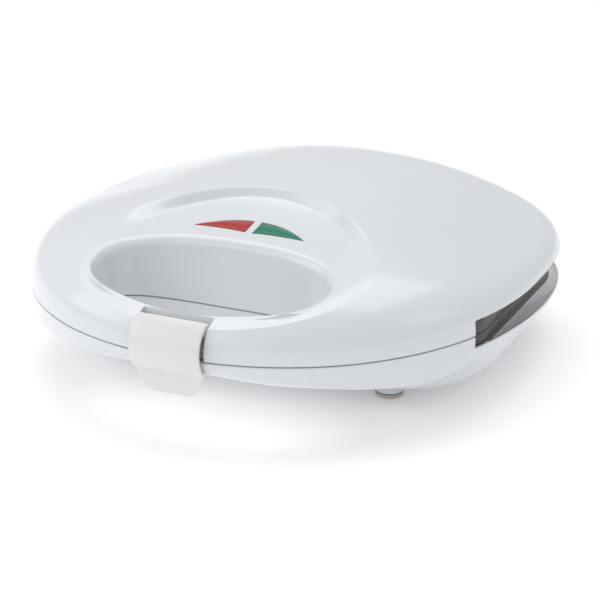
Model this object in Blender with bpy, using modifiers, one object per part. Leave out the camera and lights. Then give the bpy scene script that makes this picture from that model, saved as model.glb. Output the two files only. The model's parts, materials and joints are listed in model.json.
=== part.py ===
"""Donut maker: a hinged lid and base with ring-mould cooking plates, a clip latch and two lamps.

Metres, +Z up, front of the object at -Y. The origin is at the middle of the footprint, on the worktop.
"""
import math

import bmesh
import bpy
from mathutils import Matrix, Vector

# ---------------------------------------------------------------- driving sizes
PARTING_Z = 0.040          # height of the plane where lid and base meet
HALF_WIDTH = 0.1243        # outline of lid and base, at the parting plane
OUTLINE_Y = 0.007          # where the outline is widest
FRONT_REACH = 0.134        # from the widest place to the front
REAR_REACH = 0.117         # from the widest place to the back
FRONT_POWER = 2.12         # superellipse powers of the outline
REAR_POWER = 2.8
WALL = 0.0024              # moulded wall
GAP = 0.0003               # clearance between touching pieces
PART_GAP = 0.00025         # half of the gap at the parting plane

DOME_RISE = 0.0443         # lid, above the parting plane
LIP_RISE = 0.0015
DOME_POWER = 0.369
FRONT_DOME_POWER = 0.05
SETTLE_Y = -0.030          # behind this the dome settles towards its rear corners
SETTLE_BACK = -0.0119      # and swells again at the middle of the back
SWELL_BACK = 0.0171
SETTLE_SIDE = 0.0156
SETTLE_CORNER = 0.0135
SETTLE_CORNER_END = 0.0065
PANEL_RISE = 0.0313        # arch-shaped panel around the lamps and the hand opening
PANEL_Y = -0.045
PANEL_SLOPE = 0.13
PANEL_BEND = 1.2
ARCH_HALF = 0.066
ARCH_REACH = 0.070
ARCH_STEP = 0.05

OPEN_Y = -0.085            # hand opening
OPEN_HALF = 0.057
OPEN_FRONT = 0.027
OPEN_REAR_TOP = 0.028
OPEN_REAR_LOW = 0.0205
OPEN_FRONT_POWER = 2.5
OPEN_REAR_POWER_TOP = 2.2
OPEN_REAR_POWER_LOW = 4.0
ROLL = 0.0045

RIM_DEPTH = 0.0108         # base's rim band, below the parting plane, at the middle of the front
RIM_SPREAD = 0.976         # its growth with the square of the distance from the middle
SIDE_RIM_DEPTH = 0.0125    # its depth along the sides and the back
RIM_FRONT_Y = -0.080       # between these the front's depth gives way to the sides'
RIM_SIDE_Y = -0.040
RIM_POWER = 16             # roundness of its lower edge behind the clip, and its growth outwards
RIM_POWER_GROWTH = 12
RIM_CURVE = 0.45
BELLY_DEPTH = 0.0332
BELLY_Y = 0.024
BELLY_HALF = 0.111
BELLY_FRONT = 0.086
BELLY_REAR = 0.088
BELLY_SPREAD = 1.06
BELLY_FRONT_POWER = 4.6
BELLY_REAR_POWER = 2.8

SIDE_GAP = 0.0075          # slot along each side that shows the plates
SIDE_FRONT_Y = -0.0495
SIDE_REAR_Y = 0.087

PLATE_HALF = 0.1155        # cooking plates
PLATE_FRONT_Y = -0.059
PLATE_REAR_Y = 0.095
PLATE_SHEET = 0.0022
PLATE_SKIRT = 0.0064
PLATE_FACE = 0.0002        # cooking face, from the parting plane
RING_PITCH_X = 0.072
RING_PITCH_Y = 0.072
RING_RADIUS = 0.0205
RING_TUBE = 0.0100
RING_SEGMENTS = 16
RING_FACETS = 5

HEATER_LEVEL = 0.0160      # from the parting plane
HEATER_RADIUS = 0.0031
SHIELD_LEVEL = 0.0208
SHIELD_SHEET = 0.0008

HINGE_Y = 0.1262
HINGE_X = 0.055
HINGE_RADIUS = 0.0044
PIN_RADIUS = 0.0015
PIN_CLEAR = 0.0001
TUNNEL_HALF = 0.022

LATCH_HALF = 0.017
LATCH_Y = -0.1162          # centre of the clip's curve
LATCH_Z = PARTING_Z + 0.0033
LATCH_RADIUS = 0.0144
LATCH_SHEET = 0.0016
LATCH_PIN_Y = -0.1202
LATCH_PIN_Z = PARTING_Z + 0.0123
LATCH_TONGUE = 0.0095
NOTCH_HALF = 0.0186
NOTCH_BACK_Y = -0.1157

LENS_TIP_X = 0.0278        # lamp lenses, on the panel
LENS_INNER_X = 0.0021
LENS_FRONT_Y = -0.0455
LENS_REAR_Y = -0.0345
LENS_THICKNESS = 0.0030

COVER_THICKNESS = 0.0020   # grip covers
COVER_SCREWS = ((-0.072, -0.090), (-0.036, -0.1152), (0.036, -0.1152), (0.072, -0.090))

FOOT_X = 0.0695
FOOT_FRONT_Y = -0.040
FOOT_REAR_Y = 0.064
FOOT_RADIUS = 0.0068
FOOT_PAD = 0.0022
GLAND_Z = 0.0195           # axis of the cord's bush

LOFT_STEPS = 40
TRIM = 0.0012              # how far a shell is lofted past the parting plane before it is trimmed

WHITE = (0.83, 0.84, 0.86)
WARM_WHITE = (0.86, 0.85, 0.84)
PLATE_DARK = (0.055, 0.050, 0.048)
STEEL = (0.62, 0.61, 0.60)
BRIGHT = (0.78, 0.78, 0.79)
NATURAL = (0.80, 0.77, 0.68)

# ---------------------------------------------------------------- scene and materials
for old in list(bpy.data.objects):
    bpy.data.objects.remove(old, do_unlink=True)

parts = bpy.data.collections.new("donut_maker")
cutters = bpy.data.collections.new("cutters")
bpy.context.scene.collection.children.link(parts)
bpy.context.scene.collection.children.link(cutters)


def material(name, colour, roughness, metallic=0.0):
    """A Principled material of one colour."""
    made = bpy.data.materials.new(name)
    made.use_nodes = True
    shader = made.node_tree.nodes["Principled BSDF"]
    shader.inputs["Base Color"].default_value = (*colour, 1.0)
    shader.inputs["Roughness"].default_value = roughness
    shader.inputs["Metallic"].default_value = metallic
    return made


# ---------------------------------------------------------------- mesh helpers
def place(name, mesh, colour=None, roughness=0.4, metallic=0.0, cutter=False):
    """Put a mesh in the scene as a part or as a cutter."""
    made = bpy.data.objects.new(name, mesh)
    if cutter:
        cutters.objects.link(made)
        made.hide_render = True
        made.display_type = "WIRE"
    else:
        parts.objects.link(made)
        made.data.materials.append(material(name, colour, roughness, metallic))
    return made


def finish_bmesh(name, bm, outward=True):
    """Turn a bmesh into mesh data, its faces pointing out."""
    if outward:
        bmesh.ops.recalc_face_normals(bm, faces=bm.faces)
    mesh = bpy.data.meshes.new(name)
    bm.to_mesh(mesh)
    bm.free()
    return mesh


def add_box(bm, low, high):
    """Add a box between two corners."""
    centre = [(a + b) / 2 for a, b in zip(low, high)]
    size = [b - a for a, b in zip(low, high)]
    matrix = Matrix.Translation(centre) @ Matrix.Diagonal((*size, 1.0))
    bmesh.ops.create_cube(bm, size=1.0, matrix=matrix)


def add_rod(bm, start, end, radius, segments=16, end_radius=None):
    """Add a cylinder or cone between two points."""
    start = Vector(start)
    along = Vector(end) - start
    turn = along.to_track_quat("Z", "Y").to_matrix().to_4x4()
    matrix = Matrix.Translation(start + along / 2) @ turn
    last = radius if end_radius is None else end_radius
    bmesh.ops.create_cone(bm, cap_ends=True, segments=segments, radius1=radius, radius2=last,
                          depth=along.length, matrix=matrix)


def boolean(target, cutter, operation="DIFFERENCE", solver="EXACT"):
    """Cut or join one closed object with another."""
    step = target.modifiers.new(cutter.name, "BOOLEAN")
    step.operation = operation
    step.object = cutter
    step.solver = solver


def cutter_of(name, bm):
    """A cutter object from a bmesh."""
    return place(name, finish_bmesh(name, bm), cutter=True)


def flat_outline(name, loops, thickness):
    """A plate whose outline is a filled 2D curve, centred on its own XY plane."""
    curve = bpy.data.curves.new(name, "CURVE")
    curve.dimensions = "2D"
    curve.fill_mode = "BOTH"
    curve.extrude = thickness / 2
    for loop in loops:
        spline = curve.splines.new("POLY")
        spline.points.add(len(loop) - 1)
        for point, (x, y) in zip(spline.points, loop):
            point.co = (x, y, 0.0, 1.0)
        spline.use_cyclic_u = True
    return curve


def curve_mesh(name, curve, matrix=None):
    """The welded mesh of a curve, moved by a matrix."""
    holder = bpy.data.objects.new(name + "_curve", curve)
    cutters.objects.link(holder)
    graph = bpy.context.evaluated_depsgraph_get()
    graph.update()
    mesh = bpy.data.meshes.new_from_object(holder.evaluated_get(graph))
    bpy.data.objects.remove(holder, do_unlink=True)
    bm = bmesh.new()
    bm.from_mesh(mesh)
    bmesh.ops.remove_doubles(bm, verts=bm.verts, dist=0.000005)
    if matrix is not None:
        bmesh.ops.transform(bm, matrix=matrix, verts=bm.verts)
    return finish_bmesh(name, bm)


def outline_part(name, loops, z_middle, thickness, colour, roughness, metallic=0.0):
    """A flat part cut to an outline, lying level."""
    mesh = curve_mesh(name, flat_outline(name, loops, thickness), Matrix.Translation((0, 0, z_middle)))
    return place(name, mesh, colour, roughness, metallic)


def side_profile(name, loop, x_middle, width):
    """Mesh of an outline drawn in (y, z) and extruded along X."""
    stand = Matrix(((0, 0, 1, x_middle), (1, 0, 0, 0), (0, 1, 0, 0), (0, 0, 0, 1)))
    return curve_mesh(name, flat_outline(name, [loop], width), stand)


def tube_part(name, points, radius, colour, roughness, metallic=0.0):
    """A bent rod along a path."""
    curve = bpy.data.curves.new(name, "CURVE")
    curve.dimensions = "3D"
    curve.bevel_depth = radius
    curve.bevel_resolution = 2
    curve.use_fill_caps = True
    spline = curve.splines.new("POLY")
    spline.points.add(len(points) - 1)
    for point, place_at in zip(spline.points, points):
        point.co = (*place_at, 1.0)
    return place(name, curve_mesh(name, curve), colour, roughness, metallic)


def turned_part(name, profile, centre, axis, colour, roughness, metallic=0.0, steps=16):
    """A turned piece: profile of (radius, height), top to bottom, about an axis through centre."""
    bm = bmesh.new()
    previous = None
    for radius, height in profile:
        vertex = bm.verts.new((radius, 0.0, height))
        if previous is not None:
            bm.edges.new((previous, vertex))
        previous = vertex
    if profile[0] == profile[-1]:
        bmesh.ops.remove_doubles(bm, verts=bm.verts, dist=0.00001)
    mesh = bpy.data.meshes.new(name)
    bm.to_mesh(mesh)
    bm.free()
    made = place(name, mesh, colour, roughness, metallic)
    made.location = centre
    made.rotation_mode = "QUATERNION"
    made.rotation_quaternion = Vector(axis).to_track_quat("Z", "Y")
    turn = made.modifiers.new("turn", "SCREW")
    turn.steps = steps
    turn.render_steps = steps
    turn.use_merge_vertices = True
    turn.merge_threshold = 0.00001
    return made


def smooth(made):
    """Shade the round faces smooth."""
    made.data.shade_smooth()
    made.data.set_sharp_from_angle(angle=math.radians(35))


# ---------------------------------------------------------------- outline and height rules
def blend(edge0, edge1, value):
    """Smooth step from 0 to 1."""
    t = min(1.0, max(0.0, (value - edge0) / (edge1 - edge0)))
    return t * t * (3 - 2 * t)


def super_point(angle, half, centre_y, front, rear, front_power, rear_power):
    """A point of a superellipse whose front and rear halves differ."""
    c, s = math.cos(angle), math.sin(angle)
    reach, power = (rear, rear_power) if s >= 0 else (front, front_power)
    x = math.copysign(half * abs(c) ** (2 / power), c)
    return x, centre_y + math.copysign(reach * abs(s) ** (2 / power), s)


def super_radius(x, y, half, centre_y, front, rear, front_power, rear_power):
    """1 on that superellipse, 0 at its centre."""
    reach, power = (rear, rear_power) if y >= centre_y else (front, front_power)
    total = (abs(x) / half) ** power + (abs(y - centre_y) / reach) ** power
    return total ** (1 / power)


def outline_point(angle, scale=1.0):
    x, y = super_point(angle, HALF_WIDTH, OUTLINE_Y, FRONT_REACH, REAR_REACH, FRONT_POWER, REAR_POWER)
    return x * scale, OUTLINE_Y + (y - OUTLINE_Y) * scale


def outline_radius(x, y):
    return super_radius(x, y, HALF_WIDTH, OUTLINE_Y, FRONT_REACH, REAR_REACH, FRONT_POWER, REAR_POWER)


def opening_point(angle, level):
    """The hand opening's edge: level 0 at the parting plane, 1 at the top of the wall."""
    rear = OPEN_REAR_LOW + (OPEN_REAR_TOP - OPEN_REAR_LOW) * level
    rear_power = OPEN_REAR_POWER_LOW + (OPEN_REAR_POWER_TOP - OPEN_REAR_POWER_LOW) * level
    return super_point(angle, OPEN_HALF, OPEN_Y, OPEN_FRONT, rear, OPEN_FRONT_POWER, rear_power)


def dome_rise(x, y):
    """Height of the plain dome over the parting plane."""
    radius = min(1.0, outline_radius(x, y))
    front = min(1.0, max(0.0, (OUTLINE_Y - y) / FRONT_REACH))
    power = DOME_POWER + FRONT_DOME_POWER * front ** 2
    dome = LIP_RISE + (DOME_RISE - LIP_RISE) * max(0.0, 1 - radius ** 2) ** power
    back = max(0.0, (y - SETTLE_Y) / (OUTLINE_Y + REAR_REACH - SETTLE_Y))
    middle = back ** 2 * (SETTLE_BACK + SWELL_BACK * back)
    corner = SETTLE_SIDE * (1 - front) + back ** 2 * (SETTLE_CORNER + SETTLE_CORNER_END * back)
    return dome + (1 - radius ** 4) * (middle - (x / HALF_WIDTH) ** 2 * corner)


def lid_rise(x, y):
    """Dome with the arch-shaped panel let into it."""
    dome = dome_rise(x, y)
    ahead = y - PANEL_Y
    panel = PANEL_RISE + PANEL_SLOPE * ahead + PANEL_BEND * ahead * abs(ahead)
    arch = math.hypot(x / ARCH_HALF, (y - OPEN_Y) / ARCH_REACH)
    side = 1 - blend(0.0, 0.9, (y - OPEN_Y) / ARCH_REACH)
    inside = 1 - blend(1.0 - 0.25 * side, 1.0 + ARCH_STEP + 0.25 * side, arch)
    return dome + min(0.0, panel - dome) * inside


def belly_drop(x, y):
    """Depth of the base's underside below the parting plane: rim band and bowl."""
    radius = min(1.0, outline_radius(x, y))
    front = 1 - blend(RIM_FRONT_Y, RIM_SIDE_Y, y)
    side = blend(0.45, 0.95, abs(x) / HALF_WIDTH)
    depth = RIM_DEPTH + RIM_SPREAD * x * x * front + (SIDE_RIM_DEPTH - RIM_DEPTH) * side * (1 - front)
    power = RIM_POWER + RIM_POWER_GROWTH * (blend(LATCH_HALF, 0.050, abs(x)) + side)
    rim = depth * (1 - radius ** power) ** RIM_CURVE
    belly = super_radius(x, y, BELLY_HALF, BELLY_Y, BELLY_FRONT, BELLY_REAR,
                         BELLY_FRONT_POWER, BELLY_REAR_POWER)
    tub = max(0.0, 1 - (belly / BELLY_SPREAD) ** 16) ** 0.667
    return rim + (BELLY_DEPTH - depth) * tub


# ---------------------------------------------------------------- shells
def ring_places(angle, level):
    """Places from the opening's edge to the outline: distance from the edge, and the point."""
    x0, y0 = opening_point(angle, level)
    x1, y1 = outline_point(angle)
    length = math.hypot(x1 - x0, y1 - y0)
    roll = min(ROLL, 0.3 * length)
    rim = min(0.026, 0.55 * length)
    steps = [roll * (1 - math.cos(math.radians(a))) for a in (0, 45, 90)]
    middle = length - rim - roll
    steps += [roll + middle * f for f in (0.25, 0.5, 0.75)]
    steps += [length - rim * f for f in (1.0, 0.6, 0.32, 0.13, 0.03, 0.0)]
    places = []
    for step in steps:
        f = step / length
        places.append((step, x0 + (x1 - x0) * f, y0 + (y1 - y0) * f))
    return roll, places


def lid_section(angle):
    """Points of the lid's outer face, from the opening's foot over the top to the rim's foot."""
    foot = PARTING_Z - TRIM
    roll, places = ring_places(angle, 1.0)
    points = []
    for step, x, y in places:
        drop = 0.0
        if step < roll:
            drop = roll - math.sqrt(max(0.0, roll ** 2 - (roll - step) ** 2))
        points.append((x, y, PARTING_Z + lid_rise(x, y) - drop))
    points[-1] = (*points[-1][:2], PARTING_Z + LIP_RISE * 0.5)
    points.append((*points[-1][:2], foot))
    wall_top = points[0][2]
    wall = []
    for level in (0.0, 0.5):
        x, y = opening_point(angle, level)
        wall.append((x, y, foot + (wall_top - foot) * level))
    return wall + points


def base_section(angle):
    """Points of the base's outer face, from the opening's head under the belly to the rim's head."""
    head = PARTING_Z + TRIM
    roll, places = ring_places(angle, 0.0)
    points = []
    for step, x, y in places:
        lift = 0.0
        if step < roll:
            lift = roll - math.sqrt(max(0.0, roll ** 2 - (roll - step) ** 2))
        points.append((x, y, PARTING_Z - belly_drop(x, y) + lift))
    points[-1] = (*points[-1][:2], PARTING_Z - LIP_RISE * 0.5)
    points.append((*points[-1][:2], head))
    x, y, _ = points[0]
    return [(x, y, head)] + points


def shell(name, section, facing_up):
    """A moulded shell: sections lofted round the opening, then given its wall."""
    angles = [2 * math.pi * (k + 0.5) / LOFT_STEPS for k in range(LOFT_STEPS)]
    bm = bmesh.new()
    rows = [[bm.verts.new(p) for p in section(a)] for a in angles]
    for k, row in enumerate(rows):
        following = rows[(k + 1) % len(rows)]
        for j in range(len(row) - 1):
            bm.faces.new((row[j], row[j + 1], following[j + 1], following[j]))
    bmesh.ops.recalc_face_normals(bm, faces=bm.faces)
    top = max(bm.faces, key=lambda f: f.calc_center_median().z if facing_up
              else -f.calc_center_median().z)
    if (top.normal.z > 0) != facing_up:
        bmesh.ops.reverse_faces(bm, faces=bm.faces)
    made = place(name, finish_bmesh(name, bm, outward=False), WHITE, 0.22)
    wall = made.modifiers.new("wall", "SOLIDIFY")
    wall.thickness = WALL
    wall.offset = -1.0
    wall.use_even_offset = False
    smooth(made)
    return made


def parting_cut(target, up):
    """Trim a shell flat, a little short of the parting plane, and open it for the hinge's wire tunnel."""
    near, far = sorted((PARTING_Z + up * PART_GAP, PARTING_Z - up * 0.010))
    bm = bmesh.new()
    add_box(bm, (-0.2, -0.2, near), (0.2, 0.2, far))
    boolean(target, cutter_of(target.name + "_trim", bm))
    bm = bmesh.new()
    add_box(bm, (-TUNNEL_HALF - 0.0006, 0.1195, PARTING_Z - 0.0055),
            (TUNNEL_HALF + 0.0006, 0.1400, PARTING_Z + 0.0055))
    boolean(target, cutter_of(target.name + "_tunnel_slot", bm))


def side_slots(name, low_z, high_z):
    """Cutter for the slots along both sides."""
    bm = bmesh.new()
    for side in (-1, 1):
        xs = sorted((side * 0.085, side * 0.140))
        add_box(bm, (xs[0], SIDE_FRONT_Y, low_z), (xs[1], SIDE_REAR_Y, high_z))
    return cutter_of(name, bm)


def lens_outline(grow=0.0):
    """Leaf shape of one lens, its tip to the right, about the lens's own corner."""
    tip_x, inner_x = LENS_TIP_X + 2.4 * grow, LENS_INNER_X - grow
    front, rear = LENS_FRONT_Y - grow, LENS_REAR_Y + grow
    points = []
    for k in range(9):
        f = k / 8
        x = inner_x + (tip_x - inner_x) * f
        points.append((x, rear + (front - rear) * (0.12 * f + 0.88 * f ** 2.2)))
    for k in range(1, 5):
        f = 1 - k / 4
        x = inner_x + (tip_x - inner_x) * f
        points.append((x, front + 0.0022 * math.sin(math.pi * f / 2) * (1 - f)))
    return points


def lens_matrix(z):
    """Lies a level outline on the panel's slope."""
    tilt = math.atan(PANEL_SLOPE)
    return (Matrix.Translation((0, PANEL_Y, z)) @ Matrix.Rotation(tilt, 4, "X")
            @ Matrix.Translation((0, -PANEL_Y, 0)))


def mirrored(points):
    return [(-x, y) for x, y in reversed(points)]


def make_lid_shell():
    lid = shell("lid_shell", lid_section, True)
    parting_cut(lid, 1)
    boolean(lid, side_slots("lid_side_slots", PARTING_Z - 0.005, PARTING_Z + SIDE_GAP))
    bm = bmesh.new()
    add_box(bm, (-NOTCH_HALF, -0.140, PARTING_Z - 0.003), (NOTCH_HALF, NOTCH_BACK_Y, PARTING_Z + 0.030))
    boolean(lid, cutter_of("latch_notch", bm))
    bm = bmesh.new()
    reach = NOTCH_HALF + 0.0032
    add_rod(bm, (-reach, LATCH_PIN_Y, LATCH_PIN_Z), (reach, LATCH_PIN_Y, LATCH_PIN_Z),
            PIN_RADIUS + 2 * PIN_CLEAR, 16)
    boolean(lid, cutter_of("latch_pin_seats", bm), solver="MANIFOLD")
    level = PARTING_Z + PANEL_RISE
    for name, points in (("left_window", mirrored(lens_outline(GAP))), ("right_window", lens_outline(GAP))):
        mesh = curve_mesh(name, flat_outline(name, [points], 0.012), lens_matrix(level))
        boolean(lid, place(name, mesh, cutter=True))
    return lid


def make_base_shell():
    base = shell("base_shell", base_section, False)
    parting_cut(base, -1)
    boolean(base, side_slots("base_side_slots", PARTING_Z - 0.0085, PARTING_Z + 0.005))
    mesh = curve_mesh("plate_seat", flat_outline("plate_seat", [plate_loop(-0.0006)], 0.009),
                      Matrix.Translation((0, 0, PARTING_Z - 0.0025)))
    boolean(base, place("plate_seat", mesh, cutter=True))
    floor = PARTING_Z - BELLY_DEPTH
    bm = bmesh.new()
    for x in (-FOOT_X, FOOT_X):
        for y in (FOOT_FRONT_Y, FOOT_REAR_Y):
            add_rod(bm, (x, y, FOOT_PAD + GAP), (x, y, floor + 0.0016), FOOT_RADIUS, 20)
    boolean(base, cutter_of("foot_bosses", bm), "UNION")
    bm = bmesh.new()
    add_rod(bm, (0, 0.100, GLAND_Z), (0, 0.135, GLAND_Z), 0.0053, 20)
    for x, y in screw_places():
        add_rod(bm, (x, y, floor - 0.003), (x, y, floor + 0.006), 0.0021, 12)
    boolean(base, cutter_of("base_holes", bm))
    return base


def screw_places():
    """Screws through the base's underside, into the lower heat shield's posts."""
    return [(x, y) for x in (-0.048, 0.048) for y in (-0.020, 0.070)]


# ---------------------------------------------------------------- handle covers
def cover_loop():
    """Horseshoe that closes a grip: outline outside, hand opening inside."""
    inset = 1 - (WALL + 2 * GAP) / HALF_WIDTH * 1.15
    rear = PLATE_FRONT_Y - 0.0012
    outer = []
    for k in range(33):
        angle = math.pi + math.pi * k / 32
        x, y = outline_point(angle, inset)
        if y < rear:
            outer.append((x, y))
    inner = []
    for k in range(17):
        x, y = opening_point(2 * math.pi - math.pi * k / 16, 0.0)
        grow = WALL + 2 * GAP
        length = math.hypot(x, y - OPEN_Y)
        reach = max(length, 1e-6)
        inner.append((x * (1 + grow / reach), OPEN_Y + (y - OPEN_Y) * (1 + grow / reach) - grow * 0.35
                      * (1 if y < OPEN_Y - 0.002 else 0)))
    start_x = outer[-1][0]
    end_x = outer[0][0]
    edge = inner[0][0]
    return (outer + [(start_x, rear), (edge, rear)] + inner + [(-edge, rear), (end_x, rear)])


def make_cover(name, up):
    """Cover of the lid's grip (up = 1) or of the base's (up = -1)."""
    middle = PARTING_Z + up * (PART_GAP + COVER_THICKNESS / 2)
    cover = outline_part(name, [cover_loop()], middle, COVER_THICKNESS, WHITE, 0.25)
    holes, sinks = bmesh.new(), bmesh.new()
    for x, y in COVER_SCREWS:
        add_rod(holes, (x, y, middle - up * 0.004), (x, y, middle + up * 0.004), 0.0019, 12)
        add_rod(sinks, (x, y, PARTING_Z - up * 0.001), (x, y, PARTING_Z + up * 0.0023), 0.0043, 14,
                end_radius=0.0019)
    boolean(cover, cutter_of(name + "_holes", holes))
    boolean(cover, cutter_of(name + "_sinks", sinks))
    return cover


# ---------------------------------------------------------------- cooking plates
def plate_loop(inset=0.0):
    """Rounded outline of a plate: small front corners, large rear corners."""
    half = PLATE_HALF - inset
    low, high = PLATE_FRONT_Y + inset, PLATE_REAR_Y - inset
    points = []
    for centre_x, radius, edge, start in ((1, 0.050, high, 0), (-1, 0.050, high, 90),
                                          (-1, 0.022, low, 180), (1, 0.022, low, 270)):
        radius -= inset
        x = centre_x * (half - radius)
        y = edge - radius if edge > 0 else edge + radius
        for k in range(7):
            a = math.radians(start + 15 * k)
            points.append((x + radius * math.cos(a), y + radius * math.sin(a)))
    return points


def ring_centres():
    middle = (PLATE_FRONT_Y + PLATE_REAR_Y) / 2
    return [(i * RING_PITCH_X, middle + j * RING_PITCH_Y / 2) for i in (-1, 0, 1) for j in (-1, 1)]


def circle(centre, radius, segments):
    steps = [2 * math.pi * k / segments for k in range(segments)]
    return [(centre[0] + radius * math.cos(a), centre[1] + radius * math.sin(a)) for a in steps]


def make_plate(name, up):
    """A cast plate with ring moulds; up = 1 for the lid's plate, -1 for the base's."""
    loops = [plate_loop()]
    for centre in ring_centres():
        loops.append(circle(centre, RING_RADIUS + RING_TUBE, RING_SEGMENTS))
        loops.append(circle(centre, RING_RADIUS - RING_TUBE, RING_SEGMENTS))
    flat = curve_mesh(name + "_flat", flat_outline(name, loops, 0.0))
    bm = bmesh.new()
    bm.from_mesh(flat)
    for centre in ring_centres():
        rows = []
        for k in range(RING_FACETS + 1):
            a = math.pi * k / RING_FACETS
            radius = RING_RADIUS + RING_TUBE * math.cos(a)
            depth = up * RING_TUBE * 0.92 * math.sin(a)
            rows.append([bm.verts.new((x, y, depth)) for x, y in circle(centre, radius, RING_SEGMENTS)])
        for row, below in zip(rows, rows[1:]):
            for k in range(RING_SEGMENTS):
                n = (k + 1) % RING_SEGMENTS
                bm.faces.new((row[k], row[n], below[n], below[k]))
    bmesh.ops.remove_doubles(bm, verts=bm.verts, dist=0.00002)
    rim = [edge for edge in bm.edges if edge.is_boundary]
    grown = bmesh.ops.extrude_edge_only(bm, edges=rim)
    skirt = [v for v in grown["geom"] if isinstance(v, bmesh.types.BMVert)]
    bmesh.ops.translate(bm, verts=skirt, vec=(0, 0, up * PLATE_SKIRT))
    bmesh.ops.translate(bm, verts=bm.verts, vec=(0, 0, PARTING_Z + up * PLATE_FACE))
    bmesh.ops.recalc_face_normals(bm, faces=bm.faces)
    face = min(bm.faces, key=lambda f: abs(f.calc_center_median().z - PARTING_Z))
    if face.normal.z * up > 0:
        bmesh.ops.reverse_faces(bm, faces=bm.faces)
    made = place(name, finish_bmesh(name, bm, outward=False), PLATE_DARK, 0.45)
    wall = made.modifiers.new("wall", "SOLIDIFY")
    wall.thickness = PLATE_SHEET
    wall.offset = -1.0
    smooth(made)
    return made


# ---------------------------------------------------------------- heating parts
def arc_points(centre, radius, start, end, z, steps=4):
    points = []
    for k in range(steps + 1):
        a = math.radians(start + (end - start) * k / steps)
        points.append((centre[0] + radius * math.cos(a), centre[1] + radius * math.sin(a), z))
    return points


def make_heater(name, up):
    """Tubular element: a loop over the moulds, its cold ends at the rear."""
    z = PARTING_Z + up * HEATER_LEVEL
    middle = (PLATE_FRONT_Y + PLATE_REAR_Y) / 2
    near, far = middle - RING_PITCH_Y / 2, middle + RING_PITCH_Y / 2
    wide, bend, ends = RING_PITCH_X, 0.012, 0.014
    path = [(-ends, far + 0.024, z)]
    path += arc_points((-ends - bend, far + bend), bend, 0, -90, z)
    path += arc_points((-wide + bend, far - bend), bend, 90, 180, z)
    path += arc_points((-wide + bend, near + bend), bend, 180, 270, z)
    path += arc_points((wide - bend, near + bend), bend, 270, 360, z)
    path += arc_points((wide - bend, far - bend), bend, 0, 90, z)
    path += arc_points((ends + bend, far + bend), bend, 270, 180, z)
    path.append((ends, far + 0.024, z))
    return tube_part(name, path, HEATER_RADIUS, STEEL, 0.4, 0.9)


def shield_loop(inset=0.0):
    low, high, half, radius = -0.041, 0.071, 0.085, 0.014
    points = []
    for sx, sy, start in ((1, high, 0), (-1, high, 90), (-1, low, 180), (1, low, 270)):
        x = sx * (half - radius)
        y = sy - radius if sy > 0 else sy + radius
        for k in range(4):
            a = math.radians(start + 30 * k)
            points.append((x + (radius - inset) * math.cos(a), y + (radius - inset) * math.sin(a)))
    return points


def make_shield(name, up):
    """Bright heat shield behind the heater, with the screws' clearance holes."""
    z = PARTING_Z + up * SHIELD_LEVEL
    shield = outline_part(name, [shield_loop()], z, SHIELD_SHEET, BRIGHT, 0.3, 1.0)
    bm = bmesh.new()
    for x, y in plate_screw_places():
        add_rod(bm, (x, y, z - 0.002), (x, y, z + 0.002), 0.0019, 12)
    boolean(shield, cutter_of(name + "_holes", bm))
    return shield


def plate_screw_places():
    middle = (PLATE_FRONT_Y + PLATE_REAR_Y) / 2
    return [(x, middle + y) for x in (-0.036, 0.036) for y in (-0.048, 0.048)]


def screw_row(name, places, head_z, point_z, head_radius, head_length, radius, flat=False):
    """Like screws, one at each place, from the head's face to the point."""
    up = 1 if head_z > point_z else -1
    length = abs(head_z - point_z)
    profile = [(0, 0), (head_radius, 0), (head_radius, -head_length), (radius, -head_length),
               (radius, -length), (0, -length)]
    if flat:
        profile.pop(2)
    for k, (x, y) in enumerate(places, 1):
        turned_part("%s_%d" % (name, k), profile, (x, y, head_z), (0, 0, up), STEEL, 0.35, 0.9, steps=12)


def make_screws():
    """All fasteners."""
    for name, up in (("upper_plate_screw", 1), ("lower_plate_screw", -1)):
        top = PARTING_Z + up * (SHIELD_LEVEL + SHIELD_SHEET / 2 + GAP + 0.0018)
        foot = PARTING_Z + up * (PLATE_FACE + PLATE_SHEET + GAP)
        screw_row(name, plate_screw_places(), top, foot, 0.0034, 0.0018, 0.0015)
    for name, up, length in (("lid_cover_screw", 1, 0.0068), ("base_cover_screw", -1, 0.0034)):
        face = PARTING_Z + up * (PART_GAP + 0.00035)
        screw_row(name, COVER_SCREWS, face, face + up * length, 0.0024, 0.0013, 0.0014, True)
    floor = PARTING_Z - BELLY_DEPTH
    screw_row("base_screw", screw_places(), floor - 0.0024, floor + 0.0085, 0.0034, 0.0016, 0.0015)


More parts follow.
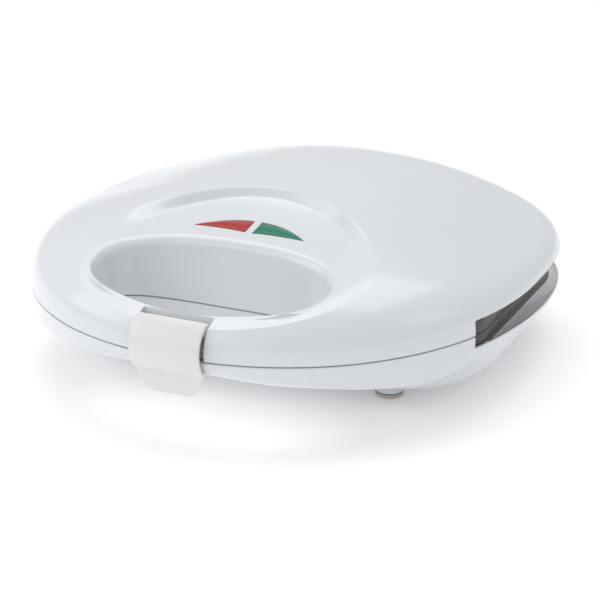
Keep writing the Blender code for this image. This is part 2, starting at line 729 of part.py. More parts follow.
def make_controls():
    """Thermostat and thermal fuse on the upper plate, lamps in their holder."""
    back = PARTING_Z + PLATE_FACE + PLATE_SHEET + GAP
    middle = (PLATE_FRONT_Y + PLATE_REAR_Y) / 2
    turned_part("thermostat", [(0, 0.0105), (0.0050, 0.0105), (0.0050, 0.0080), (0.0085, 0.0080),
                               (0.0085, 0.0010), (0.0095, 0.0010), (0.0095, 0.0), (0, 0.0)],
                (0.036, middle, back), (0, 0, 1), STEEL, 0.4, 0.9)
    turned_part("thermal_fuse", [(0, 0.016), (0.0012, 0.0155), (0.0020, 0.0140), (0.0020, 0.0020),
                                 (0.0012, 0.0005), (0, 0.0)],
                (-0.044, middle, back + 0.0022), (1, 0, 0), NATURAL, 0.5, steps=16)
    lamp_y, lamp_z = -0.0395, PARTING_Z + 0.0252
    for name, side, colour in (("power_lamp", -1, (0.8, 0.25, 0.1)), ("ready_lamp", 1, (0.5, 0.6, 0.4))):
        turned_part(name, [(0, 0.0110), (0.0012, 0.0107), (0.0022, 0.0092), (0.0022, 0.0), (0, 0.0)],
                    (side * 0.0055, lamp_y, lamp_z), (side, 0, 0), colour, 0.15, steps=16)
    bm = bmesh.new()
    bottom = PARTING_Z + SHIELD_LEVEL + SHIELD_SHEET / 2 + GAP
    add_box(bm, (-0.0220, lamp_y - 0.0050, bottom), (0.0220, lamp_y + 0.0050, lamp_z + 0.0002))
    holder = place("lamp_holder", finish_bmesh("lamp_holder", bm), NATURAL, 0.5)
    bm = bmesh.new()
    add_rod(bm, (-0.0180, lamp_y, lamp_z), (0.0180, lamp_y, lamp_z), 0.0025, 16)
    boolean(holder, cutter_of("lamp_grooves", bm))
    level = PARTING_Z + PANEL_RISE - 0.0008
    for name, points, colour in (("red_lens", mirrored(lens_outline()), (0.62, 0.05, 0.03)),
                                 ("green_lens", lens_outline(), (0.01, 0.30, 0.18))):
        mesh = curve_mesh(name, flat_outline(name, [points], LENS_THICKNESS), lens_matrix(level))
        place(name, mesh, colour, 0.12)


# ---------------------------------------------------------------- hinge
def knuckle(name, x_low, x_high, loop, bore):
    """A hinge piece: side outline in (y, z), extruded along X and bored on the hinge axis."""
    made = place(name, side_profile(name, loop, (x_low + x_high) / 2, x_high - x_low), WHITE, 0.3)
    bm = bmesh.new()
    add_rod(bm, (x_low - 0.005, HINGE_Y, PARTING_Z), (x_high + 0.005, HINGE_Y, PARTING_Z), bore, 24)
    boolean(made, cutter_of(name + "_bore", bm))


def barrel_arc(start, end, steps=16):
    """Arc of the hinge barrel, in (y, z)."""
    angles = [math.radians(start + (end - start) * k / steps) for k in range(steps + 1)]
    return [(HINGE_Y + HINGE_RADIUS * math.cos(a), PARTING_Z + HINGE_RADIUS * math.sin(a)) for a in angles]


def make_hinge():
    """Two hinges, each a base bracket, a lid arm and the pin through both, and the wires' tunnel."""
    wall_y = 0.1220
    reach = 0.0115
    arm = barrel_arc(-90, 90) + [(HINGE_Y - 0.0006, PARTING_Z + reach), (wall_y, PARTING_Z + reach),
                                 (wall_y, PARTING_Z + 0.0005)]
    toe = [(wall_y, PARTING_Z - 0.0005), (0.1204, PARTING_Z - 0.0060), (0.1180, PARTING_Z - 0.0092),
           (0.1180, PARTING_Z - reach), (HINGE_Y - 0.0006, PARTING_Z - reach)]
    bracket = barrel_arc(-90, 90) + toe
    for side, word in ((-1, "left"), (1, "right")):
        near, far = HINGE_X - 0.0092, HINGE_X + 0.0092
        base_x = sorted((side * near, side * (HINGE_X - 0.0002)))
        lid_x = sorted((side * (HINGE_X + 0.0002), side * far))
        knuckle("hinge_bracket_" + word, *base_x, bracket, PIN_RADIUS + PIN_CLEAR)
        knuckle("hinge_arm_" + word, *lid_x, arm, PIN_RADIUS + PIN_CLEAR)
        bm = bmesh.new()
        add_rod(bm, (side * (near - 0.0012), HINGE_Y, PARTING_Z),
                (side * (far + 0.0012), HINGE_Y, PARTING_Z), PIN_RADIUS, 24)
        place("hinge_pin_" + word, finish_bmesh("hinge_pin", bm), STEEL, 0.3, 1.0)
    tunnel = barrel_arc(-60, 240, 24) + [(0.1246, PARTING_Z - 0.0052), (0.1234, PARTING_Z - 0.0060),
                                         (0.1212, PARTING_Z - 0.0092), (0.1212, PARTING_Z - reach),
                                         (HINGE_Y + 0.0022, PARTING_Z - reach)]
    knuckle("wire_tunnel", -TUNNEL_HALF, TUNNEL_HALF, tunnel, HINGE_RADIUS - 0.0014)
    bm = bmesh.new()
    add_rod(bm, (-TUNNEL_HALF - 0.010, HINGE_Y, PARTING_Z), (TUNNEL_HALF + 0.010, HINGE_Y, PARTING_Z),
            0.0022, 16)
    place("hinge_wire_sleeve", finish_bmesh("hinge_wire_sleeve", bm), NATURAL, 0.7)


# ---------------------------------------------------------------- latch
def make_latch():
    """Curved clip: barrel on the pin, strap round the grips, finger tongue below."""
    outer, inner = LATCH_RADIUS, LATCH_RADIUS - LATCH_SHEET
    loop = []
    for k in range(17):
        a = math.radians(112 + 126 * k / 16)
        loop.append((LATCH_Y + outer * math.cos(a), LATCH_Z + outer * math.sin(a)))
    tip = loop[-1]
    loop.append((tip[0] - 0.0002, tip[1] - LATCH_TONGUE))
    loop.append((tip[0] + LATCH_SHEET - 0.0002, tip[1] - LATCH_TONGUE))
    loop.append((tip[0] + LATCH_SHEET, tip[1] - 0.0005))
    for k in range(17):
        a = math.radians(236 - 119 * k / 16)
        loop.append((LATCH_Y + inner * math.cos(a), LATCH_Z + inner * math.sin(a)))
    latch = place("latch", side_profile("latch", loop, 0.0, 2 * LATCH_HALF), WARM_WHITE, 0.3)
    bm = bmesh.new()
    add_rod(bm, (-LATCH_HALF, LATCH_PIN_Y, LATCH_PIN_Z), (LATCH_HALF, LATCH_PIN_Y, LATCH_PIN_Z), 0.0031, 20)
    boolean(latch, cutter_of("latch_barrel", bm), "UNION")
    bm = bmesh.new()
    add_rod(bm, (-0.03, LATCH_PIN_Y, LATCH_PIN_Z), (0.03, LATCH_PIN_Y, LATCH_PIN_Z),
            PIN_RADIUS + PIN_CLEAR, 24)
    boolean(latch, cutter_of("latch_bore", bm))
    trim = []
    bottom = tip[1] - LATCH_TONGUE
    corner = 0.0085
    for side in (-1, 1):
        sheet = [(side * 0.030, bottom - 0.003), (side * 0.030, tip[1] - 0.0005),
                 (side * LATCH_HALF, tip[1] - 0.0005)]
        for k in range(7):
            a = math.radians(90 * k / 6)
            sheet.append((side * (LATCH_HALF - 0.0015 - corner + corner * math.cos(a)),
                          bottom + corner - corner * math.sin(a)))
        sheet.append((side * (LATCH_HALF - 0.0015 - corner), bottom - 0.003))
        trim.append(sheet if side < 0 else list(reversed(sheet)))
    lay = Matrix(((1, 0, 0, 0), (0, 0, -1, tip[0]), (0, 1, 0, 0), (0, 0, 0, 1)))
    for k, sheet in enumerate(trim):
        name = "tongue_corner_%d" % k
        mesh = curve_mesh(name, flat_outline(name, [sheet], 0.012), lay)
        boolean(latch, place(name, mesh, cutter=True))
    bm = bmesh.new()
    add_rod(bm, (-NOTCH_HALF - 0.0020, LATCH_PIN_Y, LATCH_PIN_Z),
            (NOTCH_HALF + 0.0020, LATCH_PIN_Y, LATCH_PIN_Z), PIN_RADIUS, 24)
    place("latch_pin", finish_bmesh("latch_pin", bm), STEEL, 0.3, 1.0)
    return latch


# ---------------------------------------------------------------- base fittings
def make_base_fittings():
    """Feet, cord gland, cord clamp and terminal block."""
    for x, across in ((-FOOT_X, "left"), (FOOT_X, "right")):
        for y, along in ((FOOT_FRONT_Y, "front"), (FOOT_REAR_Y, "rear")):
            turned_part("foot_%s_%s" % (along, across),
                        [(0, FOOT_PAD), (0.0066, FOOT_PAD), (0.0066, 0.0005), (0.0060, 0.0), (0, 0.0)],
                        (x, y, 0.0), (0, 0, 1), (0.62, 0.57, 0.50), 0.7)
    gland_y = 0.1040
    turned_part("cord_gland", [(0.0034, 0.0235), (0.0048, 0.0235), (0.0052, 0.0190), (0.0074, 0.0190),
                               (0.0074, 0.0165), (0.0050, 0.0165), (0.0050, 0.0030), (0.0066, 0.0030),
                               (0.0066, 0.0), (0.0034, 0.0), (0.0034, 0.0235)],
                (0, gland_y, GLAND_Z), (0, 1, 0), (0.30, 0.30, 0.31), 0.6)
    floor = PARTING_Z - BELLY_DEPTH + WALL + GAP * 2
    bm = bmesh.new()
    add_box(bm, (-0.0110, 0.0850, floor), (0.0110, 0.0930, GLAND_Z + 0.0010))
    clamp = place("cord_clamp", finish_bmesh("cord_clamp", bm), NATURAL, 0.5)
    bm = bmesh.new()
    add_rod(bm, (0, 0.0800, GLAND_Z), (0, 0.0980, GLAND_Z), 0.0036, 16)
    boolean(clamp, cutter_of("cord_clamp_groove", bm))
    bm = bmesh.new()
    add_box(bm, (0.0240, 0.0780, floor), (0.0500, 0.0900, floor + 0.0090))
    block = place("terminal_block", finish_bmesh("terminal_block", bm), NATURAL, 0.5)
    bm = bmesh.new()
    for k in range(3):
        x = 0.0285 + 0.0085 * k
        add_rod(bm, (x, 0.0840, floor + 0.0040), (x, 0.0840, floor + 0.0120), 0.0026, 12)
    boolean(block, cutter_of("terminal_wells", bm))


# ---------------------------------------------------------------- assembly
make_base_shell()
make_lid_shell()
make_cover("base_handle_cover", -1)
make_cover("lid_handle_cover", 1)
make_plate("upper_plate", 1)
make_plate("lower_plate", -1)
for prefix, direction in (("upper", 1), ("lower", -1)):
    make_heater(prefix + "_heater", direction)
    make_shield(prefix + "_reflector", direction)
make_controls()
make_screws()
make_hinge()
make_latch()
make_base_fittings()
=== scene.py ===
# %% [markdown]
# # A donut maker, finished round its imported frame
#
# The machine is two moulded shells joined at the back by a hinge. Each shell holds a cooking plate
# with six ring moulds, and both have a hand opening whose front bar is the grip. A clip on the lid's
# grip snaps under the base's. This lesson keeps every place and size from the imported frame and
# gives each piece the shape and finish of the real one. All lengths are metres, +Z is up and the
# front of the machine is at -Y.

# %% Load the frame
import json
import math

import bmesh
import bpy
import numpy as np
from mathutils import Matrix, Vector


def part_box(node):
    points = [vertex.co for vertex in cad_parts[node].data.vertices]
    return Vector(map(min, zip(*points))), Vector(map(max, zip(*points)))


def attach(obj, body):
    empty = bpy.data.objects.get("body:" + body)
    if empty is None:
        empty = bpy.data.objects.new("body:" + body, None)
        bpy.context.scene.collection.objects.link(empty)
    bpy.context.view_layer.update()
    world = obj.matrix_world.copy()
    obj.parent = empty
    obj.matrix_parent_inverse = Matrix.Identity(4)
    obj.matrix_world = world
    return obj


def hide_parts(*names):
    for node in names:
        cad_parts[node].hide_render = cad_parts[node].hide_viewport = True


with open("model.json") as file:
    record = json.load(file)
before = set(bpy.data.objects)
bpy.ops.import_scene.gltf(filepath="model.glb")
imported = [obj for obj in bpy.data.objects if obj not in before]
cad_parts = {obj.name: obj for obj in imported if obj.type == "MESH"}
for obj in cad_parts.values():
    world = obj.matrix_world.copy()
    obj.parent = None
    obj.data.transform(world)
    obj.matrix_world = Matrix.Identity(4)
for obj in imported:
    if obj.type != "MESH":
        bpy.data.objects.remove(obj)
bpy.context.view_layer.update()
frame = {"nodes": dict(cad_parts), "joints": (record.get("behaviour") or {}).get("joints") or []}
joints = {joint["name"]: joint for joint in frame["joints"]}
PARTING_Z = joints["lid_hinge"]["pos_m"][2]
LATCH_PIN_Y, LATCH_PIN_Z = joints["latch_pivot"]["pos_m"][1:]
print("frame:", len(frame["nodes"]), "nodes, parting plane at", PARTING_Z)

# %% [markdown]
# ## Camera, floor and light
#
# A product like this is shown on a seamless white table, lit by large soft boxes. One wide box over
# the machine gives the long soft highlight on the dome. Two more, at the left and at the front
# left, keep the grip and the wall of the hand opening bright, and a dim one at the right leaves
# that side a little greyer. The camera is a long lens from the front right, about 21 degrees above
# the table.

# %% Camera
scene = bpy.context.scene
scene.view_settings.view_transform = "Standard"
CAMERA_AT = Vector((0.36748, -0.79244, 0.36295))
CAMERA_AIM = Vector((0.02425, -0.041, PARTING_Z))
LENS_MM, SENSOR_MM = 114.0, 36.0
camera_data = bpy.data.cameras.new("camera")
camera_data.lens = LENS_MM
camera_data.sensor_width = SENSOR_MM
camera_data.clip_start = 0.01
camera = bpy.data.objects.new("camera", camera_data)
camera.location = CAMERA_AT
camera.rotation_mode = "QUATERNION"
camera.rotation_quaternion = (CAMERA_AIM - CAMERA_AT).to_track_quat("-Z", "Y")
scene.collection.objects.link(camera)
scene.camera = camera
print("camera to aim:", round((CAMERA_AIM - CAMERA_AT).length, 3), "m")

# %% Floor
def plane_mesh(name, half):
    """A level square, centred on the origin."""
    bm = bmesh.new()
    bmesh.ops.create_grid(bm, x_segments=1, y_segments=1, size=half)
    mesh = bpy.data.meshes.new(name)
    bm.to_mesh(mesh)
    bm.free()
    return mesh


TABLE_HALF, TABLE_CLEAR = 4.0, 0.0002
floor = bpy.data.objects.new("table_top", plane_mesh("table_top", TABLE_HALF))
floor.location.z = -TABLE_CLEAR
scene.collection.objects.link(floor)

# %% Lights
def soft_box(name, at, aim, width, height, power):
    """A rectangular area light that faces a point."""
    data = bpy.data.lights.new(name, "AREA")
    data.shape = "RECTANGLE"
    data.size = width
    data.size_y = height
    data.energy = power
    light = bpy.data.objects.new(name, data)
    light.location = at
    light.rotation_mode = "QUATERNION"
    light.rotation_quaternion = (Vector(aim) - Vector(at)).to_track_quat("-Z", "Y")
    scene.collection.objects.link(light)
    return light


LIGHT_AIM = (0.0, 0.0, PARTING_Z)
WORLD_COLOUR, WORLD_STRENGTH = (0.97, 0.985, 1.0, 1.0), 0.66
soft_box("top_box", (-0.10, 0.30, 1.10), LIGHT_AIM, 1.1, 0.8, 5.0)
soft_box("left_box", (-1.0, -0.5, 0.60), LIGHT_AIM, 0.7, 0.7, 2.6)
soft_box("front_box", (-0.55, -1.30, 0.70), LIGHT_AIM, 1.0, 0.7, 2.7)
soft_box("right_box", (1.1, 0.1, 0.75), LIGHT_AIM, 0.6, 0.6, 0.8)
world = bpy.data.worlds.new("studio")
world.use_nodes = True
world.node_tree.nodes["Background"].inputs["Color"].default_value = WORLD_COLOUR
world.node_tree.nodes["Background"].inputs["Strength"].default_value = WORLD_STRENGTH
scene.world = world

# %% [markdown]
# ## Finishes
#
# Every finish is a small node tree on the Principled shader. They share three ingredients: a fine
# noise that makes the surface slightly uneven as a real moulding is, a slower noise that varies the
# gloss, and a slow, faint change of colour. All of them read Object coordinates, which on these
# pieces are simply metres from the middle of the footprint.

# %% Helpers for node trees
class Nodes:
    """A node tree under construction."""

    def __init__(self, graph):
        self.graph = graph

    def plug(self, made, values):
        """Set or link a node's inputs, by name or number."""
        for key, value in values.items():
            if isinstance(value, bpy.types.NodeSocket):
                self.graph.links.new(value, made.inputs[key])
            else:
                made.inputs[key].default_value = value

    def node(self, kind, values=None, **settings):
        """Add a node: settings are its properties, values its inputs."""
        made = self.graph.nodes.new(kind)
        for key, value in settings.items():
            setattr(made, key, value)
        self.plug(made, values or {})
        return made

    def math(self, operation, first, second=0.0):
        return self.node("ShaderNodeMath", {0: first, 1: second}, operation=operation).outputs[0]


class Finish(Nodes):
    """A material under construction, round its Principled shader."""

    def __init__(self, name):
        self.material = bpy.data.materials.new(name)
        self.material.use_nodes = True
        super().__init__(self.material.node_tree)

    def where(self):
        return self.node("ShaderNodeTexCoord").outputs["Object"]

    def noise(self, scale, detail=3.0, roughness=0.5, stretch=(1.0, 1.0, 1.0)):
        """Noise on Object coordinates; scale is in patches per metre."""
        mapping = self.node("ShaderNodeMapping", {"Vector": self.where(), "Scale": stretch})
        made = self.node("ShaderNodeTexNoise", {"Vector": mapping.outputs["Vector"], "Scale": scale,
                                                "Detail": detail, "Roughness": roughness})
        return made.outputs["Fac"]

    def span(self, value, low, high, from_low=0.3, from_high=0.7):
        """Stretch a 0 to 1 value to a range."""
        made = self.node("ShaderNodeMapRange", {"Value": value, "From Min": from_low, "From Max": from_high,
                                                "To Min": low, "To Max": high})
        return made.outputs["Result"]

    def colours(self, value, *stops):
        """A colour ramp; stops are (place, colour)."""
        ramp = self.node("ShaderNodeValToRGB", {"Fac": value})
        elements = ramp.color_ramp.elements
        elements[0].position = stops[0][0]
        elements[1].position = stops[-1][0]
        for place, _ in stops[1:-1]:
            elements.new(place)
        for element, (_, colour) in zip(elements, stops):
            element.color = (*colour, 1.0)
        return ramp.outputs["Color"]

    def bump(self, *heights):
        """Bump from (value, depth in metres) pairs, chained."""
        chain = {}
        for value, depth in heights:
            made = self.node("ShaderNodeBump", {"Strength": 1.0, "Distance": depth, "Height": value, **chain})
            chain = {"Normal": made.outputs["Normal"]}
        return chain["Normal"]

    def shaded(self, **values):
        """Set the shader's inputs, with _ for each space, and return the material."""
        named = {key.replace("_", " "): value for key, value in values.items()}
        self.plug(self.graph.nodes["Principled BSDF"], named)
        return self.material


def shade(colour, factor):
    """A colour, made lighter or darker."""
    return tuple(min(1.0, c * factor) for c in colour)


# %% [markdown]
# ### White mouldings
#
# The shells are glossy white plastic, a touch cool. A polished mould leaves a surface that is
# almost a mirror but faintly wavy, so the highlight has soft edges. The clip is moulded in a
# different, slightly warmer resin with less gloss. One function serves them all and takes the
# colour and the range of roughness.

# %% Moulded plastic
def moulded_plastic(name, colour, roughness, wave=0.00004, grain=0.0000025, coat=0.0):
    """Smooth moulding: roughness is (low, high), wave the depth of its slow unevenness."""
    made = Finish(name)
    tint = made.colours(made.noise(9.0, 2.0), (0.30, shade(colour, 0.985)), (0.70, shade(colour, 1.012)))
    gloss = made.span(made.noise(38.0, 4.0, 0.6), *roughness)
    relief = made.bump((made.noise(26.0, 1.0), wave), (made.noise(1500.0, 2.0), grain))
    return made.shaded(Base_Color=tint, Roughness=gloss, Normal=relief, IOR=1.49, Coat_Weight=coat,
                       Coat_Roughness=0.08)


COOL_WHITE = (0.690, 0.705, 0.730)
WARM_WHITE = (0.735, 0.725, 0.722)
shell_finish = moulded_plastic("shell_white", COOL_WHITE, (0.17, 0.25), coat=0.25)
cover_finish = moulded_plastic("grip_cover_white", shade(COOL_WHITE, 0.97), (0.28, 0.38))
latch_finish = moulded_plastic("latch_warm_white", WARM_WHITE, (0.30, 0.38), wave=0.00002)
hinge_finish = moulded_plastic("hinge_white", shade(COOL_WHITE, 0.98), (0.26, 0.34), wave=0.00001)
print("white mouldings:", shell_finish.name, cover_finish.name, latch_finish.name, hinge_finish.name)


# %% [markdown]
# ### Non-stick coating
#
# The plates are cast aluminium with a sprayed, baked coating. It is dark warm grey, has a fine
# pebble, and its flecks catch the light. Voronoi cells make the flecks. The coating stops just
# short of the skirt's lower edge, so a thin line of bare casting shows along the sides; its warm
# tan colour is a painted reflection of the bare metal.

# %% Coating, metals and rubber
COATING_END = 0.0061     # from the parting plane: beyond this the skirt is bare
SKIRT_FROM_X = 0.1148    # only the outermost face counts as skirt
COATING_FADE = 0.0002
# the skirt's bare edge is real; this warm tan on it is a painted reflection of the bare metal
BARE_CASTING_AND_REFLECTION = (0.52, 0.38, 0.27, 1.0)


def coating(name):
    """Sprayed non-stick coating with fine flecks, and bare casting along the skirt's edge, whose warm tan is
    a painted reflection.
    """
    made = Finish(name)
    where = made.where()
    cells = made.node("ShaderNodeTexVoronoi", {"Vector": where, "Scale": 1700.0})
    dark, fleck = (0.050, 0.045, 0.041), (0.115, 0.108, 0.100)
    tint = made.colours(cells.outputs["Distance"], (0.0, fleck), (0.22, dark), (1.0, shade(dark, 1.3)))
    place = made.node("ShaderNodeSeparateXYZ", {0: where}).outputs
    shares = []
    for axis, middle, start in (("Z", PARTING_Z, COATING_END), ("X", 0.0, SKIRT_FROM_X)):
        away = made.math("ABSOLUTE", made.math("SUBTRACT", place[axis], middle))
        shares.append(made.span(away, 0.0, 1.0, start, start + COATING_FADE))
    edge = made.math("MULTIPLY", *shares)
    # the skirt's bare edge gets its painted tan reflection here
    bare = made.node("ShaderNodeMix", {"Factor": edge, "A": tint, "B": BARE_CASTING_AND_REFLECTION}, data_type="RGBA")
    gloss = made.span(made.noise(60.0, 4.0, 0.6), 0.36, 0.50)
    relief = made.bump((made.noise(900.0, 3.0), 0.00004), (made.noise(70.0, 1.0), 0.00003))
    return made.shaded(Base_Color=bare.outputs["Result"], Roughness=gloss, Normal=relief,
                       Specular_IOR_Level=0.45)


def metal(name, colour, roughness, stretch=(1.0, 1.0, 1.0), grain=240.0, depth=0.00001):
    """Bare metal with drawn or turned marks, set by how the noise is stretched."""
    made = Finish(name)
    marks = made.noise(grain, 5.0, 0.65, stretch)
    tint = made.colours(marks, (0.30, shade(colour, 0.86)), (0.72, shade(colour, 1.08)))
    return made.shaded(Base_Color=tint, Roughness=made.span(marks, *roughness),
                       Normal=made.bump((marks, depth)), Metallic=1.0)


def rubber(name, colour):
    """Matte moulded rubber with a dusty bloom."""
    made = Finish(name)
    slow = made.noise(120.0, 4.0, 0.7)
    tint = made.colours(slow, (0.30, shade(colour, 0.85)), (0.70, shade(colour, 1.10)))
    return made.shaded(Base_Color=tint, Roughness=made.span(slow, 0.62, 0.80),
                       Normal=made.bump((made.noise(2200.0, 2.0), 0.00002)))


plate_finish = coating("plate_coating")
heater_finish = metal("heater_sheath", (0.34, 0.31, 0.29), (0.38, 0.52), grain=160.0)
shield_finish = metal("shield_sheet", (0.80, 0.80, 0.81), (0.16, 0.30), (1.0, 18.0, 1.0))
screw_finish = metal("zinc_plate", (0.66, 0.66, 0.64), (0.22, 0.34), grain=500.0)
pin_finish = metal("ground_pin", (0.70, 0.70, 0.71), (0.12, 0.22), (0.1, 1.0, 1.0),
                   grain=1500.0, depth=0.000002)
thermostat_finish = metal("pressed_cap", (0.62, 0.61, 0.59), (0.25, 0.38), grain=320.0)
fuse_finish = metal("fuse_can", (0.72, 0.68, 0.60), (0.28, 0.40), grain=700.0)
foot_finish = rubber("foot_rubber", (0.52, 0.46, 0.39))
gland_finish = rubber("bush_grey", (0.16, 0.16, 0.165))


# %% [markdown]
# ### Lenses, lamp glass, sleeving and ceramic-like mouldings
#
# The two lenses are tinted clear plastic. Light goes in, scatters on the fine ribs of the underside
# and comes back coloured, so the lens glows a little and the lamp shows through as a dark mark.
# The wires' sleeve is woven glass fibre, and the inner mouldings are natural-coloured resin.

# %% Lens, glass, sleeve and natural resin
def lens_plastic(name, colour, deep):
    """Tinted lens: part clear, part coloured scatter, with fine ribs."""
    made = Finish(name)
    ribs = made.node("ShaderNodeTexWave", {"Vector": made.where(), "Scale": 330.0, "Distortion": 0.4},
                     bands_direction="Y").outputs["Fac"]
    return made.shaded(Base_Color=made.colours(ribs, (0.0, deep), (1.0, colour)),
                       Roughness=made.span(made.noise(300.0), 0.05, 0.10),
                       Normal=made.bump((ribs, 0.00003)), Transmission_Weight=0.35, IOR=1.40)


def lamp_glass(name, colour):
    """Thin clear glass with a slight tint."""
    made = Finish(name)
    slow = made.noise(200.0)
    return made.shaded(Base_Color=made.colours(slow, (0.3, shade(colour, 0.9)), (0.7, colour)),
                       Roughness=made.span(slow, 0.03, 0.09), Normal=made.bump((slow, 0.00001)),
                       Transmission_Weight=0.6)


def woven_sleeve(name, colour):
    """Braided sleeve: crossing threads along X."""
    made = Finish(name)
    weave = made.node("ShaderNodeTexChecker", {"Vector": made.where(), "Scale": 1400.0,
                                               "Color1": (*colour, 1.0),
                                               "Color2": (*shade(colour, 0.62), 1.0)}).outputs
    return made.shaded(Base_Color=weave["Color"], Roughness=0.85, Normal=made.bump((weave["Fac"], 0.0001)))


red_finish = lens_plastic("lens_red", (0.72, 0.030, 0.020), (0.45, 0.012, 0.008))
green_finish = lens_plastic("lens_green", (0.0, 0.34, 0.20), (0.0, 0.20, 0.12))
lamp_finish = lamp_glass("lamp_glass", (0.35, 0.25, 0.20))
sleeve_finish = woven_sleeve("sleeve_weave", (0.78, 0.74, 0.64))
resin_finish = moulded_plastic("natural_resin", (0.60, 0.57, 0.48), (0.50, 0.62), grain=0.00001)


# %% Table top
TABLE_WHITE, TABLE_GLOW = (0.93, 0.93, 0.93, 1.0), 0.17


def table_white(name):
    """Matte white sweep of translucent sheet, lit a little from below."""
    return Finish(name).shaded(Base_Color=TABLE_WHITE, Roughness=0.6, Specular_IOR_Level=0.2,
                               Emission_Color=(1.0, 1.0, 1.0, 1.0), Emission_Strength=TABLE_GLOW)


floor.data.materials.append(table_white("table_white"))

# %% [markdown]
# ## The shells' shape rules
#
# Seen from above, both shells have one outline: a superellipse, which is an ellipse whose power can
# be raised to make it squarer. Its front half is nearly round and its rear half squarer. The hand
# opening is a second superellipse. A height rule over that plan gives the dome, the arch-shaped
# panel let into it, and, upside down, the base's rim and bowl. The dome settles towards its rear
# corners and swells a little at the middle of the back, where the hinge is. A sculpted mesh could
# look the same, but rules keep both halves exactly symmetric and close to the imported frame.

# %% Plan of the shells
HALF_WIDTH = 0.1239
OUTLINE = dict(half=HALF_WIDTH, middle=0.007, front=0.134, rear=0.117, front_power=2.12, rear_power=2.8)
OPENING_TOP = dict(half=0.057, middle=-0.085, front=0.027, rear=0.028, front_power=2.5, rear_power=2.2)
OPENING_FOOT = dict(half=0.057, middle=-0.085, front=0.027, rear=0.0205, front_power=2.5, rear_power=4.0)
BELLY = dict(half=0.111, middle=0.024, front=0.086, rear=0.088, front_power=4.6, rear_power=2.8)


def rounded_plan(angle, half, middle, front, rear, front_power, rear_power):
    """Points of a superellipse whose front and rear halves differ."""
    cosine, sine = np.cos(angle), np.sin(angle)
    reach = np.where(sine >= 0, rear, front)
    power = np.where(sine >= 0, rear_power, front_power)
    x = np.sign(cosine) * half * np.abs(cosine) ** (2 / power)
    y = middle + np.sign(sine) * reach * np.abs(sine) ** (2 / power)
    return np.stack([x, y])


def plan_radius(x, y, half, middle, front, rear, front_power, rear_power):
    """1 on that superellipse, 0 in its middle."""
    reach = np.where(y >= middle, rear, front)
    power = np.where(y >= middle, rear_power, front_power)
    return ((np.abs(x) / half) ** power + (np.abs(y - middle) / reach) ** power) ** (1 / power)


def ease(low, high, value):
    """Smooth step from 0 to 1."""
    t = np.clip((value - low) / (high - low), 0, 1)
    return t * t * (3 - 2 * t)


# %% Heights of the lid and depths of the base
DOME_RISE, LIP_RISE = 0.0433, 0.0015
DOME_POWER, FRONT_DOME_POWER = 0.369, 0.05
SETTLE_Y, SETTLE_REACH, SETTLE_BACK, SWELL_BACK = -0.030, 0.147, -0.0119, 0.0171
SETTLE_SIDE, SETTLE_CORNER, SETTLE_CORNER_END = 0.0156, 0.0135, 0.0065
PANEL_RISE, PANEL_Y, PANEL_SLOPE = 0.0313, -0.045, 0.13
PANEL_BEND_FRONT, PANEL_BEND_REAR = 1.2, 3.8
ARCH_HALF, ARCH_REACH, ARCH_STEP = 0.066, 0.070, 0.05
RIM_DEPTH, RIM_SPREAD, SIDE_RIM_DEPTH = 0.0108, 0.976, 0.0113
RIM_POWER, RIM_POWER_GROWTH, SIDE_POWER_GROWTH, RIM_CURVE = 16, 12, 110, 0.45
RIM_FRONT_YS, RIM_SIDES, RIM_BEHIND_CLIP = (-0.080, -0.040), (0.45, 0.95), (0.017, 0.050)
BELLY_DEPTH, BELLY_SPREAD, BELLY_POWER, BELLY_CURVE = 0.0332, 1.06, 16, 0.667


def lid_rise(x, y):
    """Dome with the arch-shaped panel let into it, above the parting plane."""
    radius = np.minimum(1.0, plan_radius(x, y, **OUTLINE))
    front = np.clip((OUTLINE["middle"] - y) / OUTLINE["front"], 0, 1)
    power = DOME_POWER + FRONT_DOME_POWER * front ** 2
    dome = LIP_RISE + (DOME_RISE - LIP_RISE) * np.maximum(0.0, 1 - radius ** 2) ** power
    back = np.clip((y - SETTLE_Y) / SETTLE_REACH, 0.0, 1.0)
    middle = back ** 2 * (SETTLE_BACK + SWELL_BACK * back)
    corner = SETTLE_SIDE * (1 - front) + back ** 2 * (SETTLE_CORNER + SETTLE_CORNER_END * back)
    dome = dome + (1 - radius ** 4) * (middle - (x / HALF_WIDTH) ** 2 * corner)
    ahead = y - PANEL_Y
    bend = np.where(ahead > 0, PANEL_BEND_REAR, PANEL_BEND_FRONT)
    panel = PANEL_RISE + PANEL_SLOPE * ahead + bend * ahead * np.abs(ahead)
    along = (y - OPENING_TOP["middle"]) / ARCH_REACH
    arch = np.hypot(x / ARCH_HALF, along)
    side = 1 - ease(0.0, 0.9, along)
    inside = 1 - ease(1.0 - 0.25 * side, 1.0 + ARCH_STEP + 0.25 * side, arch)
    return dome + np.minimum(0.0, panel - dome) * inside


def base_drop(x, y):
    """Rim and bowl of the base, below the parting plane.

    The rim is rounded behind the clip, squarer outwards, and nearly square-edged along the slots."""
    radius = np.minimum(1.0, plan_radius(x, y, **OUTLINE))
    front = 1 - ease(*RIM_FRONT_YS, y)
    side = ease(*RIM_SIDES, np.abs(x) / HALF_WIDTH)
    depth = RIM_DEPTH + RIM_SPREAD * x ** 2 * front + (SIDE_RIM_DEPTH - RIM_DEPTH) * side * (1 - front)
    power = RIM_POWER + RIM_POWER_GROWTH * (ease(*RIM_BEHIND_CLIP, np.abs(x)) + side)
    power = power + SIDE_POWER_GROWTH * side * (1 - front)
    rim = depth * np.maximum(0.0, 1 - radius ** power) ** RIM_CURVE
    bowl = plan_radius(x, y, **BELLY) / BELLY_SPREAD
    return rim + (BELLY_DEPTH - depth) * np.maximum(0.0, 1 - bowl ** BELLY_POWER) ** BELLY_CURVE


print("lid over the middle:", round(float(lid_rise(0.0, 0.02)) * 1000, 1), "mm above the parting plane")

